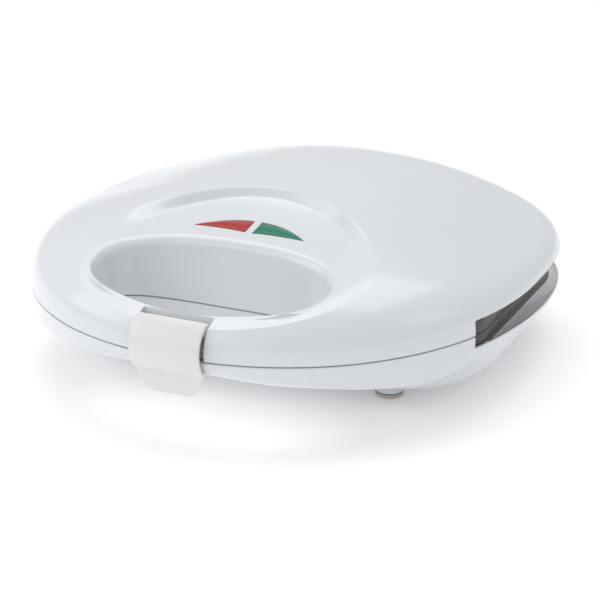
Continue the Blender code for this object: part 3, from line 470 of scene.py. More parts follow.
# %% [markdown]
# ### Lofting a shell
#
# A shell is a set of ribs that run from the hand opening's edge out to the rim, like the staves of
# a barrel. Each rib is first drawn very finely and then resampled, so that its points crowd where
# it bends and thin out where it is flat. Rows of points then follow every crease smoothly, which is
# what keeps a glossy surface free of ripples. The wall is the same grid moved inwards.
#
# Both shells are cut back along the sides, where the plates show. That edge is part of the rule
# too: ribs inside the slot simply stop higher, and a few ribs set close together at each end of the
# slot give it a crisp end with a small round corner.

# %% Columns round the outline
HALF_COLUMNS, FINE_STEPS = 150, 6001
COLUMN_GAP = 0.0006      # no ordinary column stands nearer than this to a slot's own ones
SLOT_FRONT_Y, SLOT_REAR_Y = -0.0495, 0.087
SLOT_STEPS = (-0.00015, 0.00015, 0.0004, 0.0008, 0.0015, 0.0025)


def fine_half(plan, start):
    """Half of a plan drawn finely, and the length up to each of its points."""
    fine = rounded_plan(np.linspace(start, start + np.pi, FINE_STEPS), **plan)
    return fine, np.concatenate([[0.0], np.cumsum(np.hypot(*np.diff(fine, axis=1)))])


def half_loop(plan, start, shares):
    """Points along half of a plan, at shares of its length."""
    fine, length = fine_half(plan, start)
    want = np.asarray(shares) * length[-1]
    return np.stack([np.interp(want, length, fine[0]), np.interp(want, length, fine[1])])


def column_shares(start, slot_y):
    """Shares of a half outline for the columns, and how far each lies inside the slot."""
    fine, length = fine_half(OUTLINE, start)
    total = length[-1]
    end = length[np.argmax(np.abs(fine[1] - OUTLINE["middle"]) >= abs(slot_y - OUTLINE["middle"]))]
    extra = [end - step for step in SLOT_STEPS]
    even = np.linspace(0, total, HALF_COLUMNS, endpoint=False)
    crowded = extra + [total - e for e in extra]
    apart = [v for v in even if min(abs(v - e) for e in crowded) > COLUMN_GAP]
    places = np.array(sorted(apart + crowded))
    return places / total, end - np.minimum(places, total - places)


rear_shares, rear_inside = column_shares(0.0, SLOT_REAR_Y)
front_shares, front_inside = column_shares(np.pi, SLOT_FRONT_Y)
inside_slot = np.concatenate([rear_inside, front_inside])


def columns(plan):
    """A plan's points at every column."""
    return np.concatenate([half_loop(plan, 0.0, rear_shares), half_loop(plan, np.pi, front_shares)], axis=1)


outline_xy = columns(OUTLINE)
print("columns:", outline_xy.shape[1], "of which inside the side slots:", int((inside_slot > 0).sum()))

# %% Rib sampling
SURFACE_ROWS, EDGE_ROWS, DRAWN_ROWS, WALL_ROWS = 84, 7, 1400, 24
BEND_WEIGHT = 0.020
SPLIT = {1: 0.0010, -1: 0.0060}    # how far inside the outline the rim's own rows start
WALL = 0.0024
EDGE_ROUND = 0.00035
ROLL = 0.0045


def resample(points, count):
    """Points along a fine line, crowded where it bends."""
    apart = np.linalg.norm(np.diff(points, axis=0), axis=1) > 1e-9
    points = points[np.concatenate([[True], apart])]
    steps = np.diff(points, axis=0)
    length = np.linalg.norm(steps, axis=1)
    heading = steps / length[:, None]
    turn = np.arccos(np.clip((heading[1:] * heading[:-1]).sum(axis=1), -1, 1))
    cost = length.copy()
    cost[1:] += BEND_WEIGHT * turn / 2
    cost[:-1] += BEND_WEIGHT * turn / 2
    cost = np.concatenate([[0.0], np.cumsum(cost)])
    want = np.linspace(0.0, cost[-1], count)
    return np.stack([np.interp(want, cost, points[:, k]) for k in range(3)], axis=1)


def rib(start, foot, end, height, up, edge, mouth):
    """One rib. start and foot: the opening's edge at its top and at the parting plane; end: the outline.

    height gives the distance from the parting plane, up is 1 for the lid and -1 for the base, edge is
    where the rim stops, and mouth where the opening's wall stops."""
    length = np.hypot(*(end - start))
    roll = min(ROLL, 0.3 * length)
    step = length * 0.5 * (1 - np.cos(np.linspace(0, np.pi, DRAWN_ROWS)))
    x = start[0] + (end[0] - start[0]) * step / length
    y = start[1] + (end[1] - start[1]) * step / length
    z = height(x, y) - np.where(step < roll, roll - np.sqrt(np.maximum(0, roll ** 2 - (roll - step) ** 2)), 0)
    wall_share = np.linspace(0, 1, WALL_ROWS, endpoint=False)
    wall = np.stack([foot[0] + (start[0] - foot[0]) * wall_share, foot[1] + (start[1] - foot[1]) * wall_share,
                     mouth + (z[0] - mouth) * wall_share], axis=1)
    top = np.concatenate([wall, np.stack([x, y, z], axis=1)])
    split = len(top) - 1 - np.argmax((step[::-1] <= length - SPLIT[up]))
    rim = np.concatenate([top[split:], [[end[0], end[1], z[-1]], [end[0], end[1], 0.0]]])
    cut = np.argmax(rim[:, 2] < edge)
    above, below = rim[cut - 1], rim[cut]
    share = (above[2] - edge) / (above[2] - below[2])
    rim = np.concatenate([rim[:cut], [above + (below - above) * share]])
    made = np.concatenate([resample(top[:split + 1], SURFACE_ROWS), resample(rim, EDGE_ROWS)[1:]])
    made[:, 2] = PARTING_Z + up * made[:, 2]
    return made


# %% Closing a shell
def grid_normals(grid):
    """Unit normals of a grid of points whose columns wrap round."""
    down = np.gradient(grid, axis=0)
    across = np.roll(grid, -1, axis=1) - np.roll(grid, 1, axis=1)
    normal = np.cross(across, down)
    return normal / np.maximum(np.linalg.norm(normal, axis=2, keepdims=True), 1e-12)


def chamfered(outer, inner, up, last):
    """Two rows that turn an edge's corner: a little up the wall, and a little in from it."""
    lift = np.array([0.0, 0.0, up * EDGE_ROUND])
    inward = (inner - outer) * (EDGE_ROUND / WALL)
    rows = [outer + lift, outer + inward]
    return rows if last else rows[::-1]


def closed_shell(name, ribs, up, away):
    """A mesh with a wall, from the outer grid of ribs. away is a point inside the wall's hollow side."""
    outer = np.stack(ribs, axis=1)
    normal = grid_normals(outer)
    centre = outer[SURFACE_ROWS // 2].mean(axis=0) - np.array(away)
    if (normal[SURFACE_ROWS // 2] * centre).sum() < 0:
        normal = -normal
    for _ in range(2):
        normal[1:-1] = (normal[:-2] + 2 * normal[1:-1] + normal[2:]) / 4
    normal /= np.linalg.norm(normal, axis=2, keepdims=True)
    inner = outer - WALL * normal
    for row in (0, -1):
        level = normal[row] * np.array([1.0, 1.0, 0.0])
        level /= np.maximum(np.linalg.norm(level, axis=1, keepdims=True), 1e-9)
        inner[row] = outer[row] - WALL * level
    floor_rows = chamfered(outer[-1], inner[-1], up, True) + chamfered(inner[-1], outer[-1], up, False)
    mouth_rows = chamfered(inner[0], outer[0], up, True) + chamfered(outer[0], inner[0], up, False)
    rows = list(outer[1:-1]) + floor_rows + list(inner[-2:0:-1]) + mouth_rows
    return skin(name, np.stack(rows), closed_rows=True)


def skin(name, rows, closed_rows=False, closed_columns=True):
    """A bmesh skin over rows of points, welded and facing outwards."""
    bm = bmesh.new()
    made = [[bm.verts.new(p) for p in row] for row in rows]
    row_count, column_count = len(made), len(made[0])
    for r in range(row_count if closed_rows else row_count - 1):
        for c in range(column_count if closed_columns else column_count - 1):
            a, b = made[r], made[(r + 1) % row_count]
            n = (c + 1) % column_count
            bm.faces.new((a[c], a[n], b[n], b[c]))
    return object_from(name, bm)


def object_from(name, bm, smooth_angle=38.0):
    """An object from a bmesh: normals made consistent and outward, soft faces shaded smooth."""
    bmesh.ops.recalc_face_normals(bm, faces=bm.faces)
    if bm.calc_volume(signed=True) < 0:
        bmesh.ops.reverse_faces(bm, faces=bm.faces)
    mesh = bpy.data.meshes.new(name)
    bm.to_mesh(mesh)
    bm.free()
    made = bpy.data.objects.new(name, mesh)
    scene.collection.objects.link(made)
    soften_shading(made, smooth_angle)
    return made


def soften_shading(made, angle=38.0):
    """Smooth shading, with creases kept where faces meet at more than an angle."""
    made.data.shade_smooth()
    made.data.set_sharp_from_angle(angle=math.radians(angle))


# %% Cutting and joining
def applied(made):
    """Apply an object's modifiers to its mesh."""
    graph = bpy.context.evaluated_depsgraph_get()
    graph.update()
    mesh = bpy.data.meshes.new_from_object(made.evaluated_get(graph))
    made.modifiers.clear()
    made.data = mesh
    return made


def carve(target, tool, operation="DIFFERENCE", solver="MANIFOLD"):
    """Cut a tool out of a target, or join it on, and remove the tool."""
    step = target.modifiers.new("carve", "BOOLEAN")
    step.operation = operation
    step.solver = solver
    step.object = tool
    before = len(target.data.polygons)
    applied(target)
    bpy.data.objects.remove(tool, do_unlink=True)
    if len(target.data.polygons) in (0, before):
        print("note:", target.name, "was not changed by", operation)
    return target


def round_edges(made, width, segments=3, angle=35.0):
    """Round an object's sharp edges and shade it."""
    step = made.modifiers.new("round", "BEVEL")
    step.width = width
    step.segments = segments
    step.limit_method = "ANGLE"
    step.angle_limit = math.radians(angle)
    applied(made)
    soften_shading(made, angle)
    return made


def prism(name, loop, low, high, place=None):
    """A straight solid between two levels from a closed outline, moved by a matrix."""
    bm = bmesh.new()
    bottom = [bm.verts.new((x, y, low)) for x, y in loop]
    top = [bm.verts.new((x, y, high)) for x, y in loop]
    bm.faces.new(bottom)
    bm.faces.new(top)
    for k in range(len(loop)):
        n = (k + 1) % len(loop)
        bm.faces.new((bottom[k], bottom[n], top[n], top[k]))
    if place is not None:
        bmesh.ops.transform(bm, matrix=place, verts=bm.verts)
    return object_from(name, bm)


SIDE_ON = Matrix(((0, 0, 1, 0), (1, 0, 0, 0), (0, 1, 0, 0), (0, 0, 0, 1)))    # (y, z) outlines, along X


def block(name, low, high):
    """A box between two corners, for cutting and joining."""
    loop = [(low[0], low[1]), (high[0], low[1]), (high[0], high[1]), (low[0], high[1])]
    return prism(name, loop, low[2], high[2])


def lathe(name, profile, place, steps=64):
    """A turned solid: profile of (radius, height) from axis to axis, moved by a matrix."""
    bm = bmesh.new()
    rows = []
    for radius, height in profile:
        if radius < 1e-7:
            rows.append([bm.verts.new((0, 0, height))])
            continue
        turn = [2 * math.pi * k / steps for k in range(steps)]
        rows.append([bm.verts.new((radius * math.cos(a), radius * math.sin(a), height)) for a in turn])
    for a, b in zip(rows, rows[1:]):
        for k in range(steps):
            n = (k + 1) % steps
            corners = [a[k % len(a)], a[n % len(a)], b[n % len(b)], b[k % len(b)]]
            face = list(dict.fromkeys(corners))
            if len(face) > 2:
                bm.faces.new(face)
    bmesh.ops.transform(bm, matrix=place, verts=bm.verts)
    return object_from(name, bm)


def rod(name, radius, half, place, steps):
    """A plain round bar of a given half length."""
    return lathe(name, [(0, -half), (radius, -half), (radius, half), (0, half)], place, steps)


# %% [markdown]
# ## Lid shell
#
# The lid's dome swells from the hand opening to the back. Its panel, arch-shaped in plan, lies a
# few millimetres lower and carries the two lenses. The opening's top edge is rolled, its rear wall
# leans back, and a notch in the grip takes the clip. The notch has its own cheeks and back wall, as
# a moulding would, so that the hollow grip stays closed.

# %% Lid shell
SEAM = 0.00025           # each shell stops this far from the parting plane
SLOT_RISE = 0.0075
SLOT_CORNER = 0.0015
NOTCH_HALF, NOTCH_BACK_Y, NOTCH_TOP_Y = 0.01745, -0.1157, -0.1144
LINER_FOOT = PARTING_Z + 0.0008
TUNNEL_FIT, SLOT_NEAR_Y, SLOT_FAR_Y = 0.0006, 0.1190, 0.1400
LENS_TIP, LENS_INNER, LENS_FRONT_Y, LENS_REAR_Y = 0.0278, 0.0021, -0.0455, -0.0345
FIT = 0.0003


def slot_edge(inside, height, corner=SLOT_CORNER):
    """Where a shell's edge lies at each column: at the seam, or up at the slot's edge."""
    within = np.clip(inside, 0, corner)
    rise = height - corner + np.sqrt(corner ** 2 - (corner - within) ** 2)
    return np.where(inside <= 0, SEAM, rise)


def lens_loop(grow=0.0, steps=24):
    """Leaf shape of one lens, tip outwards: a nearly straight front edge and a curved rear edge."""
    tip, inner = LENS_TIP + 2.4 * grow, LENS_INNER - grow
    front, rear = LENS_FRONT_Y - grow, LENS_REAR_Y + grow
    points = []
    for f in np.linspace(0, 1, steps + 1):
        points.append((inner + (tip - inner) * f, rear + (front - rear) * (0.12 * f + 0.88 * f ** 2.2)))
    for f in np.linspace(1, 0, steps // 2 + 1)[1:]:
        points.append((inner + (tip - inner) * f, front + 0.0022 * math.sin(math.pi * f / 2) * (1 - f)))
    return points


def mirrored(points):
    """The same outline on the other side, still running the same way round."""
    return [(-x, y) for x, y in reversed(points)]


ON_PANEL = (Matrix.Translation((0, PANEL_Y, PARTING_Z + PANEL_RISE))
            @ Matrix.Rotation(math.atan(PANEL_SLOPE), 4, "X") @ Matrix.Translation((0, -PANEL_Y, 0)))


def notch_liner():
    """Cheeks and back wall that close the hollow grip round the clip's notch."""
    front = OUTLINE["middle"] - OUTLINE["front"]
    cheek_y = np.linspace(NOTCH_BACK_Y + 0.0013, front + 0.0022, 14)
    pieces = []
    for side in (-1, 1):
        x = side * (NOTCH_HALF + 0.0007)
        top = [(y, PARTING_Z + float(lid_rise(x, y)) - 0.0013) for y in cheek_y]
        loop = [(cheek_y[0], LINER_FOOT)] + top + [(cheek_y[-1], LINER_FOOT)]
        low, high = sorted((side * (NOTCH_HALF - 0.001), side * (NOTCH_HALF + 0.0014)))
        pieces.append(prism("cheek", loop, low, high, SIDE_ON))
    top = PARTING_Z + float(lid_rise(0.0, NOTCH_BACK_Y)) - 0.0012
    reach = NOTCH_HALF + 0.0012
    pieces.append(block("notch_back", (-reach, NOTCH_BACK_Y - 0.001, LINER_FOOT),
                        (reach, NOTCH_BACK_Y + 0.0014, top)))
    return pieces


def make_lid_shell():
    """The lid, lofted, then notched, windowed and slotted for the wires' tunnel."""
    edge = slot_edge(inside_slot, SLOT_RISE)
    top, foot = columns(OPENING_TOP), columns(OPENING_FOOT)
    ribs = [rib(top[:, k], foot[:, k], outline_xy[:, k], lid_rise, 1, edge[k], SEAM)
            for k in range(len(edge))]
    lid = closed_shell("lid_moulding", ribs, 1, (0, 0, 0))
    for piece in notch_liner():
        carve(lid, piece, "UNION")
    ahead, below, above = -0.140, PARTING_Z - 0.004, PARTING_Z + 0.030
    side_view = [(ahead, below), (NOTCH_BACK_Y, below), (NOTCH_BACK_Y, PARTING_Z + 0.009),
                 (NOTCH_TOP_Y, PARTING_Z + 0.0165), (NOTCH_TOP_Y, above), (ahead, above)]
    carve(lid, prism("notch", side_view, -NOTCH_HALF, NOTCH_HALF, SIDE_ON))
    for loop in (lens_loop(FIT), mirrored(lens_loop(FIT))):
        carve(lid, prism("window", loop, -0.008, 0.008, ON_PANEL))
    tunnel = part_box("wire_tunnel")
    carve(lid, block("tunnel_slot", (tunnel[0].x - TUNNEL_FIT, SLOT_NEAR_Y, PARTING_Z - 0.010),
                     (tunnel[1].x + TUNNEL_FIT, SLOT_FAR_Y, PARTING_Z + 0.0052)))
    soften_shading(lid)
    return lid


lid_moulding = make_lid_shell()
print("lid:", len(lid_moulding.data.polygons), "faces")

# %% [markdown]
# ## Base shell
#
# The base is the same idea upside down: a shallow rim under the grip, a deep bowl behind the hand
# opening, four foot bosses. Along the sides its edge drops to a ridge, and a hollow ledge runs from
# there in to the plate, as a gutter for batter that runs over. The ledge is a swept solid: the
# space over it is cut from the loft first, then the ledge itself is joined on.

# %% Base shell
LEDGE_LEVEL, LEDGE_SHEET, LEDGE_SAG = 0.0071, 0.0016, 0.10
LEDGE_COLUMNS, LEDGE_ROWS = 90, 18
RIDGE_CORNER, RIDGE_FRONT_DEPTH = 0.0012, 0.0060
RIDGE_FALLS = ((0.0028, -0.03, 0.03), (0.0006, 0.04, 0.08))    # how much, and between which y
GLAND_HOLE_RADIUS, GLAND_HOLE_Y = 0.0053, 0.118
plate_low, plate_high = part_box("lower_plate")
PLATE_HALF = plate_high.x
PLATE_FRONT_RADIUS, PLATE_REAR_RADIUS = 0.022, 0.050
foot_nodes = sorted(name for name in frame["nodes"] if name.startswith("foot_"))
foot_places = [(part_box(name)[0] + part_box(name)[1]) / 2 for name in foot_nodes]
FOOT_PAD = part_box(foot_nodes[0])[1].z


def ridge_depth(y):
    """Depth of the ridge along the slot, which falls towards the back."""
    return RIDGE_FRONT_DEPTH + sum(fall * ease(start, end, y) for fall, start, end in RIDGE_FALLS)


def side_edge_depth():
    """Depth of the base's edge at each column: at the seam, or down at the ridge."""
    return slot_edge(inside_slot, ridge_depth(outline_xy[1]), RIDGE_CORNER)


def plate_edge_x(y):
    """Half width of the plates' rounded outline at a given y."""
    front, rear = plate_low.y + PLATE_FRONT_RADIUS, plate_high.y - PLATE_REAR_RADIUS
    into_front = np.clip(front - y, 0, PLATE_FRONT_RADIUS)
    into_rear = np.clip(y - rear, 0, PLATE_REAR_RADIUS)
    cut = PLATE_FRONT_RADIUS - np.sqrt(PLATE_FRONT_RADIUS ** 2 - into_front ** 2)
    cut += PLATE_REAR_RADIUS - np.sqrt(PLATE_REAR_RADIUS ** 2 - into_rear ** 2)
    return PLATE_HALF - cut


def outline_x(y):
    """Half width of the shells' outline at a given y."""
    reach = np.where(y >= OUTLINE["middle"], OUTLINE["rear"], OUTLINE["front"])
    power = np.where(y >= OUTLINE["middle"], OUTLINE["rear_power"], OUTLINE["front_power"])
    return HALF_WIDTH * (1 - (np.abs(y - OUTLINE["middle"]) / reach) ** power) ** (1 / power)


def side_ledge(side):
    """Hollow ledge between the rim and the plate, along one side, and the free space over it."""
    ys = np.linspace(SLOT_FRONT_Y - 0.0012, SLOT_REAR_Y + 0.001, LEDGE_COLUMNS)
    share = np.linspace(0, 1, LEDGE_ROWS)
    near, far = plate_edge_x(ys) + 0.0002, outline_x(ys) - 0.0004
    rim_level = ridge_depth(ys) - 0.0003
    x = near[:, None] + (far - near)[:, None] * share
    sag = LEDGE_SAG * (far - near)[:, None] * 4 * share * (1 - share)
    z = PARTING_Z - (LEDGE_LEVEL + (rim_level[:, None] - LEDGE_LEVEL) * share + sag)
    upper = np.stack([side * x, np.repeat(ys[:, None], len(share), axis=1), z], axis=2)
    lower = upper[:, ::-1] - np.array([0.0, 0.0, LEDGE_SHEET])
    roof = upper[:, ::-1].copy()
    roof[:, :, 2] = PARTING_Z + 0.003
    return (capped_skin("ledge", np.concatenate([upper, lower], axis=1)),
            capped_skin("ledge_space", np.concatenate([upper, roof], axis=1)))


def capped_skin(name, sections):
    """A solid from a row of closed sections, capped at both ends."""
    bm = bmesh.new()
    rows = [[bm.verts.new(p) for p in section] for section in sections]
    for a, b in zip(rows, rows[1:]):
        for k in range(len(a)):
            n = (k + 1) % len(a)
            bm.faces.new((a[k], a[n], b[n], b[k]))
    bm.faces.new(rows[0])
    bm.faces.new(rows[-1])
    return object_from(name, bm)


def foot_boss(centre):
    """A round boss that flares into the bowl's floor."""
    floor_z = PARTING_Z - BELLY_DEPTH
    low, high = FOOT_PAD + FIT, floor_z + 0.0012
    profile = [(0, low), (0.0062, low), (0.0067, low + 0.0004), (0.0068, low + 0.0009),
               (0.0068, floor_z - 0.0016), (0.0071, floor_z - 0.0006), (0.0080, floor_z + 0.0004),
               (0.0084, high), (0, high)]
    return lathe("boss", profile, Matrix.Translation((centre.x, centre.y, 0)))


def make_base_shell():
    """The base, lofted, with its ledges, foot bosses, gland hole and tunnel slot."""
    edge = side_edge_depth()
    rim = columns(OPENING_FOOT)
    ribs = [rib(rim[:, k], rim[:, k], outline_xy[:, k], base_drop, -1, edge[k], SEAM)
            for k in range(len(edge))]
    base = closed_shell("base_moulding", ribs, -1, (0, 0, 0.1))
    for side in (-1, 1):
        ledge, space = side_ledge(side)
        carve(base, space)
        carve(base, ledge, "UNION")
    for centre in foot_places:
        carve(base, foot_boss(centre), "UNION")
    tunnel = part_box("wire_tunnel")
    carve(base, block("tunnel_slot", (tunnel[0].x - TUNNEL_FIT, SLOT_NEAR_Y, PARTING_Z - 0.0055),
                      (tunnel[1].x + TUNNEL_FIT, SLOT_FAR_Y, PARTING_Z + 0.010)))
    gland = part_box("cord_gland")
    centre = (gland[0] + gland[1]) / 2
    place = Matrix.Translation((0, GLAND_HOLE_Y, centre.z)) @ Matrix.Rotation(math.pi / 2, 4, "X")
    carve(base, rod("gland_hole", GLAND_HOLE_RADIUS, 0.02, place, 48))
    soften_shading(base)
    return base


base_moulding = make_base_shell()
print("base:", len(base_moulding.data.polygons), "faces")

# %% [markdown]
# ## Clip
#
# The clip is one springy moulding: a strap bent round the front of both grips, hung on a pin inside
# the lid's notch, with a thumb tongue below. Seen from the side it is an arc and a short straight
# run, so it is drawn as that outline and given its width, then the tongue's corners are cut round
# and every edge is rounded. Bending a flat strip would do as well, but the outline keeps the wall
# even.

# %% Clip
CLIP_HALF, BARREL_RADIUS, BORE_RADIUS = 0.0170, 0.0031, 0.0016
CLIP_CENTRE = (-0.1162, PARTING_Z + 0.0033)
CLIP_RADIUS, CLIP_SHEET = 0.01436, 0.0016
CLIP_TONGUE = 0.0095
CLIP_START, CLIP_END = 112.0, 238.0
TONGUE_CORNER = 0.0085
TONGUE_INSET = 0.0015


def arc(centre, radius, start, end, steps):
    """Points of an arc, in degrees."""
    turn = np.radians(np.linspace(start, end, steps + 1))
    return [(centre[0] + radius * math.cos(a), centre[1] + radius * math.sin(a)) for a in turn]


def make_clip():
    """Strap, barrel and tongue, bored for the pin."""
    outer = arc(CLIP_CENTRE, CLIP_RADIUS, CLIP_START, CLIP_END, 40)
    inner = arc(CLIP_CENTRE, CLIP_RADIUS - CLIP_SHEET, CLIP_END - 2, CLIP_START + 5, 40)
    tip_y, tip_z = outer[-1]
    tongue = [(tip_y - 0.0002, tip_z - CLIP_TONGUE), (tip_y + CLIP_SHEET - 0.0002, tip_z - CLIP_TONGUE),
              (tip_y + CLIP_SHEET, tip_z - 0.0005)]
    clip = prism("clip_moulding", outer + tongue + inner, -CLIP_HALF, CLIP_HALF, SIDE_ON)
    on_pin = Matrix.Translation((0, LATCH_PIN_Y, LATCH_PIN_Z)) @ Matrix.Rotation(math.pi / 2, 4, "Y")
    carve(clip, rod("barrel", BARREL_RADIUS, CLIP_HALF, on_pin, 40), "UNION")
    carve(clip, rod("bore", BORE_RADIUS, 0.03, on_pin, 32))
    bottom = tip_z - CLIP_TONGUE
    edge = CLIP_HALF - TONGUE_INSET
    stand = Matrix(((1, 0, 0, 0), (0, 0, 1, tip_y), (0, 1, 0, 0), (0, 0, 0, 1)))
    for side in (-1, 1):
        shoulder = arc((edge + TONGUE_INSET, tip_z - 0.0020), TONGUE_INSET, 180, 90, 6)
        corner = arc((edge - TONGUE_CORNER, bottom + TONGUE_CORNER), TONGUE_CORNER, -90, 0, 16)
        loop = ([(edge - TONGUE_CORNER, bottom - 0.004)] + corner + shoulder
                + [(0.030, tip_z - 0.0005), (0.030, bottom - 0.004)])
        loop = [(side * x, z) for x, z in loop]
        carve(clip, prism("corner_cut", loop, -0.004, 0.012, stand))
    return round_edges(clip, 0.00045)


clip_moulding = make_clip()
print("clip:", len(clip_moulding.data.polygons), "faces")

# %% [markdown]
# ## Lenses
#
# Two leaf-shaped lenses sit flush in the panel, red on the left for power and green on the right
# for ready. Each is a thin slab of tinted plastic with softly rounded edges, standing in its window
# with a hair's gap round it.

# %% Lenses
def make_lens(name, loop):
    """One lens slab, flush with the panel."""
    return round_edges(prism(name, loop, -0.0024, 0.0003, ON_PANEL), 0.0003, 2)


red_slab = make_lens("red_lens_slab", mirrored(lens_loop()))
green_slab = make_lens("green_lens_slab", lens_loop())
print("lenses:", red_slab.name, green_slab.name)

# %% [markdown]
# ## Grip covers
#
# Each grip is closed by a flat horseshoe held with four countersunk screws. Its outline follows the
# shell's outline outside and the hand opening inside, a wall's thickness in from both.

# %% Grip covers
COVER_THICKNESS = 0.0020
COVER_SCREWS = ((-0.072, -0.090), (-0.036, -0.1152), (0.036, -0.1152), (0.072, -0.090))


def cover_loop():
    """Horseshoe outline in plan."""
    wall = WALL + 2 * FIT
    inset = 1 - wall / HALF_WIDTH * 1.15
    rear = plate_low.y - 0.0012
    turn = np.linspace(np.pi, 2 * np.pi, 121)
    x, y = rounded_plan(turn, **OUTLINE)
    x, y = x * inset, OUTLINE["middle"] + (y - OUTLINE["middle"]) * inset
    outer = [(float(a), float(b)) for a, b in zip(x, y) if b < rear]
    x, y = rounded_plan(turn[::-1][::2], **OPENING_FOOT)
    reach = np.hypot(x, y - OPENING_FOOT["middle"])
    grow = 1 + wall / reach
    ahead = np.where(y < OPENING_FOOT["middle"] - 0.002, wall * 0.35, 0.0)
    middle = OPENING_FOOT["middle"]
    inner = [(float(a), float(b)) for a, b in zip(x * grow, middle + (y - middle) * grow - ahead)]
    return outer + [(inner[0][0], rear)] + inner + [(inner[-1][0], rear)]


def make_cover(name, up):
    """Cover of the lid's grip (up = 1) or of the base's (up = -1)."""
    low, high = sorted((PARTING_Z + up * SEAM, PARTING_Z + up * (SEAM + COVER_THICKNESS)))
    cover = prism(name, cover_loop(), low, high)
    flip = Matrix.Diagonal((1, 1, up, 1))
    sink = [(0, -0.001), (0.0043, -0.001), (0.0019, 0.0021), (0.0019, 0.004), (0, 0.004)]
    for x, y in COVER_SCREWS:
        carve(cover, lathe("sink", sink, Matrix.Translation((x, y, PARTING_Z)) @ flip, 40))
    return round_edges(cover, 0.0003, 2)


lid_cover = make_cover("lid_grip_cover", 1)
base_cover = make_cover("base_grip_cover", -1)
print("covers:", len(lid_cover.data.polygons), "faces each")

# %% [markdown]
# ## Geometry Nodes helpers
#
# The plates' moulds, the screws and the feet repeat, so Geometry Nodes make them. A tree is built
# once with its sizes as named inputs. Each use sets those inputs by their identifiers, reads the
# evaluated result as a plain mesh and drops the modifier, so that nothing live is left behind.

# %% Geometry Nodes helpers
class Tree(Nodes):
    """A Geometry Nodes tree under construction."""

    def __init__(self, name, sizes):
        super().__init__(bpy.data.node_groups.new(name, "GeometryNodeTree"))
        face = self.graph.interface
        face.new_socket("Geometry", in_out="INPUT", socket_type="NodeSocketGeometry")
        face.new_socket("Geometry", in_out="OUTPUT", socket_type="NodeSocketGeometry")
        for size in sizes:
            face.new_socket(size, in_out="INPUT", socket_type="NodeSocketFloat")
        face.new_socket("Finish", in_out="INPUT", socket_type="NodeSocketMaterial")
        self.given = self.node("NodeGroupInput").outputs
        self.result = self.node("NodeGroupOutput")

    def make(self, kind, values=None, **settings):
        """Add a Geometry Nodes node and return what comes out of it."""
        return self.node("GeometryNode" + kind, values, **settings).outputs[0]

    def plus(self, first, second):
        return self.math("ADD", first, second)

    def minus(self, first, second):
        return self.math("SUBTRACT", first, second)

    def times(self, first, second):
        return self.math("MULTIPLY", first, second)

    def vector(self, x=0.0, y=0.0, z=0.0):
        return self.node("ShaderNodeCombineXYZ", {0: x, 1: y, 2: z}).outputs[0]

    def place(self):
        """The x, y and z of each point."""
        return self.node("ShaderNodeSeparateXYZ", {0: self.make("InputPosition")}).outputs

    def spread(self, points, instance, **more):
        """An instance on every point."""
        return self.make("InstanceOnPoints", {"Points": points, "Instance": instance, **more})

    def join(self, *parts):
        made = self.node("GeometryNodeJoinGeometry")
        for part in parts:
            self.graph.links.new(part, made.inputs[0])
        return made.outputs[0]

    def real(self, geometry):
        return self.make("RealizeInstances", {0: geometry})

    def finish(self, geometry):
        """Close the tree: real geometry, with its material."""
        dressed = {"Geometry": self.real(geometry), "Material": self.given["Finish"]}
        self.graph.links.new(self.make("SetMaterial", dressed), self.result.inputs[0])


def grown(name, tree, points, finish, **sizes):
    """Run a tree over points and return its result as a plain mesh object."""
    mesh = bpy.data.meshes.new(name)
    mesh.from_pydata([tuple(p) for p in points], [], [])
    made = bpy.data.objects.new(name, mesh)
    scene.collection.objects.link(made)
    step = made.modifiers.new("grow", "NODES")
    step.node_group = tree.graph
    wanted = {size.replace("_", " "): value for size, value in sizes.items()}
    wanted["Finish"] = finish
    for item in tree.graph.interface.items_tree:
        if item.item_type == "SOCKET" and item.in_out == "INPUT" and item.name in wanted:
            step[item.identifier] = wanted.pop(item.name)
    assert not wanted, f"{tree.graph.name} has no input named {sorted(wanted)}"
    return applied(made)


# %% [markdown]
# ## Cooking plates
#
# The plates are the heart of the machine, and their shape follows a rule: a flat sheet with six ring
# grooves. Across a groove, depth goes as a cosine raised to a power, which gives a round bottom and
# lips without a hard edge. The tree bends one grid into a ring groove by that rule, repeats it on a
# 3 by 2 grid of points, fills the flat between with a triangulated sheet whose holes match the
# grooves' edges, welds both and pulls down a skirt.

# %% The plate's tree
GROOVE_STEPS = 96
GROOVE_ROWS = 23


